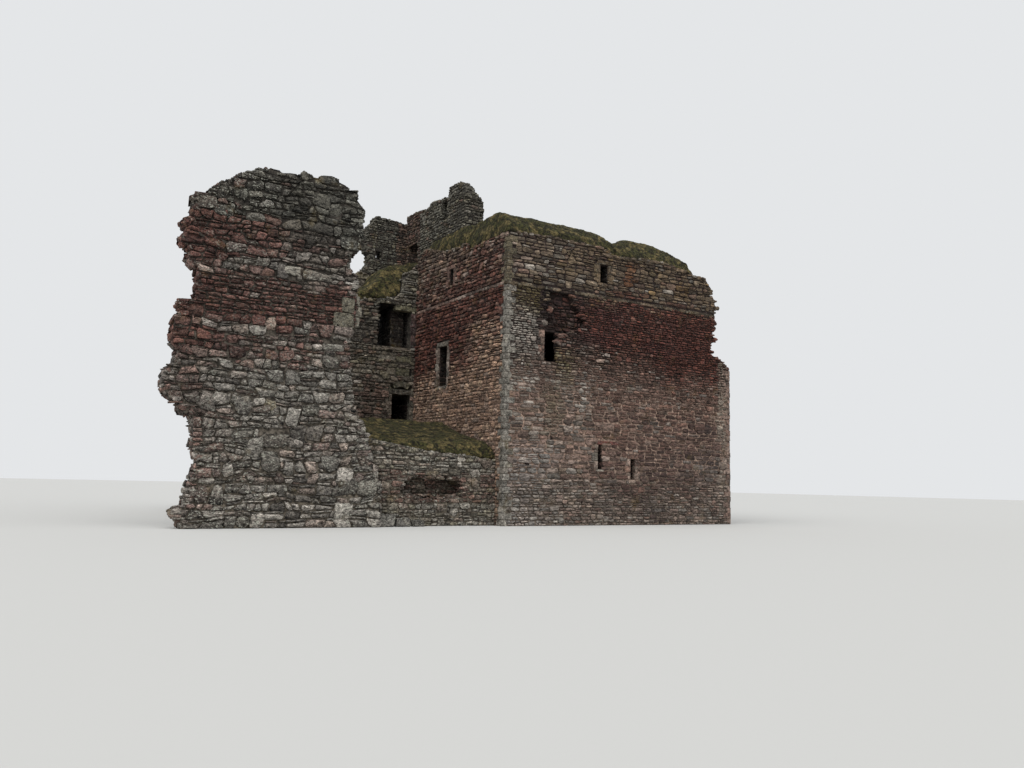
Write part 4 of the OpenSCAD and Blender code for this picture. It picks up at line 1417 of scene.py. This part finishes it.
class KEEP_OT_forework(bpy.types.Operator):
    """Lays the boulders of the tall fragment and the stones of the low wall"""
    bl_idname = "keep.forework"
    bl_label = "Forework"

    def execute(self, context):
        lay("fragment_front_boulders", "boulder_rubble", 41, "fragment", faces_us, "boulder", fragment_weights,
            "lichened_boulders", 0.6)
        self.largest()
        lay("fragment_back_boulders", "boulder_rubble", 42, "fragment", lambda f: not faces_us(f) and not below(f),
            "boulder_back", fragment_weights, "lichened_boulders", 0.5)
        lay("low_wall_stones", "grey_rubble", 43, "low", lambda f: not below(f), "wing", low_weights,
            "lichened_boulders", 0.5)
        return {"FINISHED"}

    def largest(self):
        """The blocks that stand out one by one: boulders with their corners off, and squared stones"""
        rng = np.random.default_rng(64)
        front = next(f for f in Site.facets["fragment"] if faces_us(f))
        work = Masonry("fragment_blocks", "boulder_rubble", rng)
        for face, a0, a1, h0, h1, depth, proud, tones in fragment_stones():
            wall = FACES[face]
            tone = stone_colours(tones, 1, rng)
            if tones == SQUARED:
                even = stone_colours(tones, 9, np.random.default_rng(66)).mean(0)
                work.add_box(wall.at((a0 + a1) / 2, (h0 + h1) / 2, (proud - depth) / 2), wall.axes(),
                             ((a1 - a0) / 2 - 0.02, (h1 - h0) / 2 - 0.02, (proud + depth) / 2), 0.03, even, 0.25)
                continue
            corners = np.array([wall.at(a, h) for a, h in ((a0, h0), (a1, h0), (a1, h1), (a0, h1))])
            quad = front.flat(corners)[None] + rng.uniform(-0.04, 0.04, (1, 4, 2))
            work.add(front, quad, wall_look("boulder"), tone, np.array([0.7]))
        work.finish(material_named("lichened_boulders"))


class KEEP_OT_garret(bpy.types.Operator):
    """Lays the garret walls and the chimney stub"""
    bl_idname = "keep.garret"
    bl_label = "Garret"

    def execute(self, context):
        lay("garret_stones", "garret_rubble", 51, "garret", lambda f: f.normal[2] > -0.5, "garret", garret_weights,
            "greenish_rubble", 0.5)
        return {"FINISHED"}


# Stretches of the string course: face, and where they start and end along it
STRING_RUNS = (("gable", -0.09, 2.9), ("gable", 3.7, 12.65), ("left", 0.0, WING_Y - 0.02),
               ("right", WALL_T, BLOCK_D + 0.09), ("rear", -0.02, GABLE_L))
# The relieving arch: outer radius, then angle, inner radius and half width of each stone in metres
ARCH_R = 0.86
WEDGE = 0.71 * math.radians(15.4) / 2 - 0.004
ARCH_STONES = ((35.7, 0.70, 0.065), (59.2, 0.56, WEDGE), (74.6, 0.56, WEDGE), (90.0, 0.56, WEDGE),
               (105.4, 0.56, WEDGE), (120.8, 0.56, WEDGE), (144.3, 0.70, 0.065))
# Fallen blocks: along, back and up from the near corner, size along, back and up, and turn in degrees
FALLEN = ((-5.25, 0.32, 0.24, 0.7, 0.46, 0.48, 8), (-4.5, 0.33, 0.16, 0.6, 0.42, 0.32, -6),
          (-3.8, 0.33, 0.13, 0.48, 0.38, 0.26, 4))


class KEEP_OT_dressings(bpy.types.Operator):
    """Sets the corner stones, the dressed openings, the entrance and the string course"""
    bl_idname = "keep.dressings"
    bl_label = "Dressed stones"

    def execute(self, context):
        Site.ready()
        rng = np.random.default_rng(61)
        self.corners(rng)
        square("window_dressings", "dressed_stone", 62, window_stones())
        square("wing_dressings", "grey_rubble", 63, wing_stones())
        self.string(rng)
        self.entrance(rng)
        self.fallen(rng)
        return {"FINISHED"}

    def corners(self, rng):
        """The quoins: grey at the near corner, browner at the others, lichened at the wall head"""
        work = Masonry("corner_stones", "dressed_stone", rng)
        for low, high in all_quoins():
            near = abs(low - ORIGIN)[:2].max() < 0.1
            names = ("quoin", "grey") if near else ("red_brown", "pink_grey")
            tone = stone_colours(("parapet", "olive") if low[2] > STRING_Z - 0.3 else names, 3, rng).mean(0)
            work.add_box((low + high) / 2, np.eye(3), (high - low) / 2 - np.array((0, 0, 0.005)), 0.022, tone)
        work.finish(material_named("dressed_sandstone"))

    def string(self, rng):
        """Weathered lengths of the moulding, each a little off its neighbour"""
        low, high = (corner.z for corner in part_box("string_course"))
        stones = []
        for face, start, end in STRING_RUNS:
            tones = ("pink_grey", "red_brown") if face == "left" else ("string", "parapet")
            a = start
            while a < end - 0.05:
                b = min(a + rng.uniform(0.45, 0.95), end)
                if end - b < 0.3:
                    b = end
                drop = rng.uniform(0, 0.02)
                stones.append((face, a, b, low - drop, high - 0.02 - drop, 0.12, rng.uniform(0.03, 0.08), tones))
                a = b
        square("string_stones", "dressed_stone", 65, stones, "string_course", bevel=0.03)

    def entrance(self, rng):
        """The lintel, the blank panel, the relieving arch between them, and the fragment's dressed jamb"""
        wall = FACES["wing"]
        work = Masonry("entrance_stones", "dressed_stone", rng)
        for node, proud, tone in (("door_lintel", 0.03, "wing"), ("blank_panel", 0.02, "olive")):
            low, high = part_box(node)
            middle = np.array((low + high) / 2) + np.array((0, -proud / 2, 0))
            half = np.array(((high.x - low.x) / 2, (high.z - low.z) / 2, (high.y - low.y + proud) / 2))
            work.add_box(middle, wall.axes(), half, 0.02, stone_colours((tone,), 1, rng)[0])
        low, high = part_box("relieving_arch")
        middle = np.array(((low.x + high.x) / 2, low.y, high.z - ARCH_R))
        depth = high.y - low.y
        for angle, inner, half_width in ARCH_STONES:
            c, s = math.cos(math.radians(angle)), math.sin(math.radians(angle))
            out = np.array((c, 0.0, s))
            place = middle + out * (inner + ARCH_R) / 2 + np.array((0, depth / 2 - 0.02, 0))
            work.add_box(place, np.array(((-s, 0.0, c), out, (0, -1, 0))),
                         (half_width, (ARCH_R - inner) / 2, depth / 2 + 0.02), 0.018,
                         stone_colours(("wing", "olive"), 1, rng)[0])
        low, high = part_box("fragment_jamb")
        for i, back in enumerate((0.08, 0.0, 0.08)):
            half = (high.x - low.x - back + 0.15) / 2
            work.add_box(np.array((low.x - 0.15 + half, low.y + 0.3, low.z + 0.42 * i + 0.2)), np.eye(3),
                         (half, 0.3, 0.2), 0.03, stone_colours(SQUARED, 1, rng)[0])
        work.finish(material_named("dressed_sandstone"), "door_lintel", "relieving_arch", "blank_panel",
                    "fragment_jamb")

    def fallen(self, rng):
        """The blocks that lie at the foot of the low wall"""
        work = Masonry("fallen_stones", "boulder_rubble", rng)
        for a, b, h, sx, sy, sz, turn in FALLEN:
            c, s = math.cos(math.radians(turn)), math.sin(math.radians(turn))
            work.add_box(np.array((CORNER.x + a, CORNER.y + b, h)), np.array(((c, s, 0), (-s, c, 0), (0, 0, 1))),
                         (sx / 2, sy / 2, sz / 2), 0.08, stone_colours(("grey",), 1, rng)[0])
        work.finish(material_named("lichened_boulders"), "fallen_blocks")


def ragged_edges(name):
    """Exposed outer edges of a broken node: their two ends and the directions of the two faces that meet there."""
    shape = bmesh.new()
    shape.from_mesh(frame["nodes"][name].data)
    bmesh.ops.remove_doubles(shape, verts=shape.verts, dist=1e-4)
    found = []
    for edge in shape.edges:
        if len(edge.link_faces) != 2:
            continue
        a, b = (np.array(f.normal) for f in edge.link_faces)
        if a @ b > 0.88 or not edge.is_convex or min(a[2], b[2]) < -0.9:
            continue
        found.append((np.array(edge.verts[0].co), np.array(edge.verts[1].co), a, b))
    shape.free()
    return found


# Rocks on the broken edges: piece, group, tones, finish, slot, spacing, size, lowest height and how deep they sink
EDGES = (
    ("block_edge_rubble", "block", gable_weights, "red_sandstone", "parapet_rubble", 0.30, 1.0, 7.9, 0.04),
    ("wing_edge_rubble", "wing", wing_weights, "greenish_rubble", "grey_rubble", 0.32, 1.0, 7.6, 0.06),
    ("garret_edge_rubble", "garret", garret_weights, "greenish_rubble", "garret_rubble", 0.26, 0.85, 7.6, 0.06),
    ("fragment_edge_rubble", "fragment", fragment_weights, "lichened_boulders", "boulder_rubble", 0.3, 1.05, 0.1,
     0.08),
    ("low_wall_edge_rubble", "low", low_weights, "lichened_boulders", "grey_rubble", 0.24, 0.9, 0.1, 0.05),
)
ROCK = ((0.11, 0.24), (0.09, 0.17), (0.045, 0.1))  # smallest and largest half length, half width and half height
ROCKS_A_SQUARE_METRE = 3.2
# The broken opening, where no loose rock may hang: its middle and half size, along, back from the wing's face and up
GAP = np.array(((-1.2, 1.3, 9.9), (1.0, 1.1, 1.2)))


class KEEP_OT_loose_rubble(bpy.types.Operator):
    """Sets rough stones along every broken edge and on every bare wall top"""
    bl_idname = "keep.loose_rubble"
    bl_label = "Broken edges"

    def execute(self, context):
        rng = np.random.default_rng(71)
        for name, group, weights, material, slot, step, size, lowest, sunk in EDGES:
            centres = self.places(group, step, lowest, sunk, rng)
            if group == "low":
                centres = np.vstack([centres, self.hollow(rng)])
            n = len(centres)
            sizes = np.stack([rng.uniform(*span, n) for span in ROCK], 1) * size
            work = Masonry(name, slot, rng)
            work.add_rocks(centres, sizes, choose(weights(centres), rng), np.clip(rng.normal(0.45, 0.25, n), 0, 1))
            work.finish(material_named(material))
        return {"FINISHED"}

    def hollow(self, rng):
        """Rocks that have slipped on to the floor of the low wall's hollow, and those that still hang over it"""
        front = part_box("low_wall")[0].y
        count = 44
        along = CORNER.x + rng.uniform(-4.3, -1.65, count)
        fallen = np.arange(count) % 2 == 0
        depth = np.where(fallen, rng.uniform(0.02, 0.5, count), rng.uniform(0.02, 0.16, count))
        height = np.where(fallen, rng.uniform(1.1, 1.28, count), rng.uniform(1.93, 2.08, count))
        return np.stack([along, front + depth, height], 1)

    def places(self, group, step, lowest, sunk, rng):
        """Where rocks sit: along the bare outward edges, and scattered over the tops"""
        site = Site.ready()
        found = []
        for node in nodes_of(group):
            for p, q, a, b in ragged_edges(node):
                count = max(1, int(np.linalg.norm(q - p) / step))
                for i in range(count):
                    spot = p + (q - p) * (i + rng.uniform(0.1, 0.9)) / count
                    found.append((spot, spot + 0.05 * a - 0.03 * b, spot + 0.05 * b - 0.03 * a,
                                  spot - sunk * (a + b) * rng.uniform(0.6, 1.4)))
        for facet in site.facets[group]:
            if facet.normal[2] > 0.35:  # the tops, level or sloping
                for tri in facet.tris:
                    e, f = tri[1] - tri[0], tri[2] - tri[0]
                    for _ in range(rng.poisson(abs(e[0] * f[1] - e[1] * f[0]) / 2 * ROCKS_A_SQUARE_METRE)):
                        r, t = sorted(rng.random(2))
                        s, up = tri[0] * r + tri[1] * (t - r) + tri[2] * (1 - t)
                        spot = facet.point(np.array([s]), np.array([up]), 0.0)[0]
                        lifted = spot + facet.normal * 0.07
                        found.append((spot, lifted, lifted, spot))
        spots, first, second, centres = (np.array([row[k] for row in found]) for k in range(4))
        bare = ~site.hidden(first) & ~site.hidden(second) & ~site.taken(spots) & (spots[:, 2] > lowest)
        in_gap = (abs(spots - ORIGIN - (0.0, WING_Y, 0.0) - GAP[0]) < GAP[1]).all(1)
        return centres[bare & ~in_gap]


class KEEP_OT_earth(bpy.types.Operator):
    """Raises the mossy banks of earth on the wall heads and behind the low wall"""
    bl_idname = "keep.earth"
    bl_label = "Banks of earth"

    def execute(self, context):
        lump = context.scene.keep_sizes.lump
        for node in EARTH_NODES:
            bank = bpy.data.objects.new(node + "_mound", frame["nodes"][node].data.copy())
            context.scene.collection.objects.link(bank)
            select_only(bank)
            modifier(bank, "REMESH", mode="VOXEL", voxel_size=0.14 if node == "rubble_bank" else 0.09)
            modifier(bank, "SMOOTH", iterations=5, factor=0.7)
            for size, height in ((0.9, lump), (0.28, lump * 0.55), (0.11, lump * 0.3)):
                texture = bpy.data.textures.new(node + "_lumps", "CLOUDS")
                texture.noise_scale = size
                modifier(bank, "DISPLACE", texture=texture, texture_coords="LOCAL", strength=height, mid_level=0.45)
            mesh = bank.data
            points = np.empty(len(mesh.vertices) * 3, np.float32)
            mesh.vertices.foreach_get("co", points)
            mesh.vertices.foreach_set("co", inside_box(points.reshape(-1, 3)).astype(np.float32).ravel())
            mesh.update()
            bpy.ops.object.shade_smooth()
            mesh.materials.clear()
            mesh.materials.append(material_named("mossy_earth"))
            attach(bank, "root")
            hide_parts(node)
        return {"FINISHED"}


# Lamps of the studio: name, direction, strength and how wide their light spreads, in degrees
LAMPS = (("key", (0.40, 0.42, -0.81), 3.2, 80), ("fill", (-0.6, 0.6, -0.5), 0.4, 60))
# The studio's light and the pale background that the camera sees: colour and strength
SOFT_LIGHT = opaque("#f3f8ff"), 0.5
BACKGROUND = opaque("#eff1f3"), 0.9


class KEEP_OT_stage(bpy.types.Operator):
    """Makes the plain pale floor and the studio light"""
    bl_idname = "keep.stage"
    bl_label = "Stage"

    def execute(self, context):
        bpy.ops.mesh.primitive_plane_add(size=600, location=(0, 0, CAD_BOUNDS[0][2]))
        floor = context.object
        floor.name = "stage_floor"
        floor.data.materials.append(material_named("pale_floor"))
        world = bpy.data.worlds.new("studio")
        context.scene.world = world
        world.use_nodes = True
        grow(world.node_tree, [
            ("soft", "Background", SOFT_LIGHT),
            ("shown", "Background", BACKGROUND),
            ("camera", "LightPath", ()),
            ("mix", "MixShader", ("camera", "soft", "shown")),
            ("output", "OutputWorld", ("mix",)),
        ])
        for name, way, power, spread in LAMPS:
            lamp = bpy.data.lights.new(name, "SUN")
            lamp.energy = power
            lamp.angle = math.radians(spread)
            holder = bpy.data.objects.new(name, lamp)
            context.scene.collection.objects.link(holder)
            holder.rotation_euler = Vector(way).to_track_quat("-Z", "Y").to_euler()
        return {"FINISHED"}


class KEEP_OT_camera(bpy.types.Operator):
    """Sets the camera where the picture was taken from"""
    bl_idname = "keep.camera"
    bl_label = "Camera"

    def execute(self, context):
        view = context.scene.keep_camera
        lens = bpy.data.cameras.new("view")
        lens.lens = view.lens
        lens.sensor_width = 36
        lens.clip_end = 500
        camera = bpy.data.objects.new("view", lens)
        context.scene.collection.objects.link(camera)
        turn = Matrix.Rotation(view.turn, 4, "Z")
        tilt = Matrix.Rotation(math.pi / 2 + view.pitch, 4, "X")
        lean = Matrix.Rotation(view.roll, 4, "Z")
        eye = Matrix.Translation((CORNER.x + view.along, CORNER.y + view.back, CAD_BOUNDS[0][2] + view.eye))
        camera.matrix_world = eye @ turn @ tilt @ lean
        context.scene.camera = camera
        context.scene.view_settings.view_transform = "Standard"
        return {"FINISHED"}


class KEEP_PT_panel(bpy.types.Panel):
    """Lists the steps that dress the keep"""
    bl_label = "Castle keep"
    bl_idname = "KEEP_PT_panel"
    bl_space_type = "VIEW_3D"
    bl_region_type = "UI"
    bl_category = "Keep"

    def draw(self, context):
        for group in (context.scene.keep_sizes, context.scene.keep_colours, context.scene.keep_camera):
            box = self.layout.box()
            for key in group.bl_rna.properties.keys():
                if key not in ("rna_type", "name"):
                    box.prop(group, key)
        for step in STEPS:
            self.layout.operator(step.bl_idname)


STEPS = [KEEP_OT_camera, KEEP_OT_mortar, KEEP_OT_main_faces, KEEP_OT_broken_faces, KEEP_OT_wing, KEEP_OT_forework,
         KEEP_OT_garret, KEEP_OT_dressings, KEEP_OT_loose_rubble, KEEP_OT_earth, KEEP_OT_stage]
CLASSES = [KeepSizes, KeepColours, KeepCamera, *STEPS, KEEP_PT_panel]


def register():
    for cls in CLASSES:
        bpy.utils.register_class(cls)
    bpy.types.Scene.keep_sizes = PointerProperty(type=KeepSizes)
    bpy.types.Scene.keep_colours = PointerProperty(type=KeepColours)
    bpy.types.Scene.keep_camera = PointerProperty(type=KeepCamera)


def unregister():
    del bpy.types.Scene.keep_sizes, bpy.types.Scene.keep_colours, bpy.types.Scene.keep_camera
    for cls in reversed(CLASSES):
        bpy.utils.unregister_class(cls)


def main():
    register()
    bpy.ops.keep.camera()
    bpy.ops.keep.mortar()
    bpy.ops.keep.main_faces()
    bpy.ops.keep.broken_faces()
    bpy.ops.keep.wing()
    bpy.ops.keep.forework()
    bpy.ops.keep.garret()
    bpy.ops.keep.dressings()
    bpy.ops.keep.loose_rubble()
    bpy.ops.keep.earth()
    bpy.ops.keep.stage()


if __name__ == "__main__":
    main()
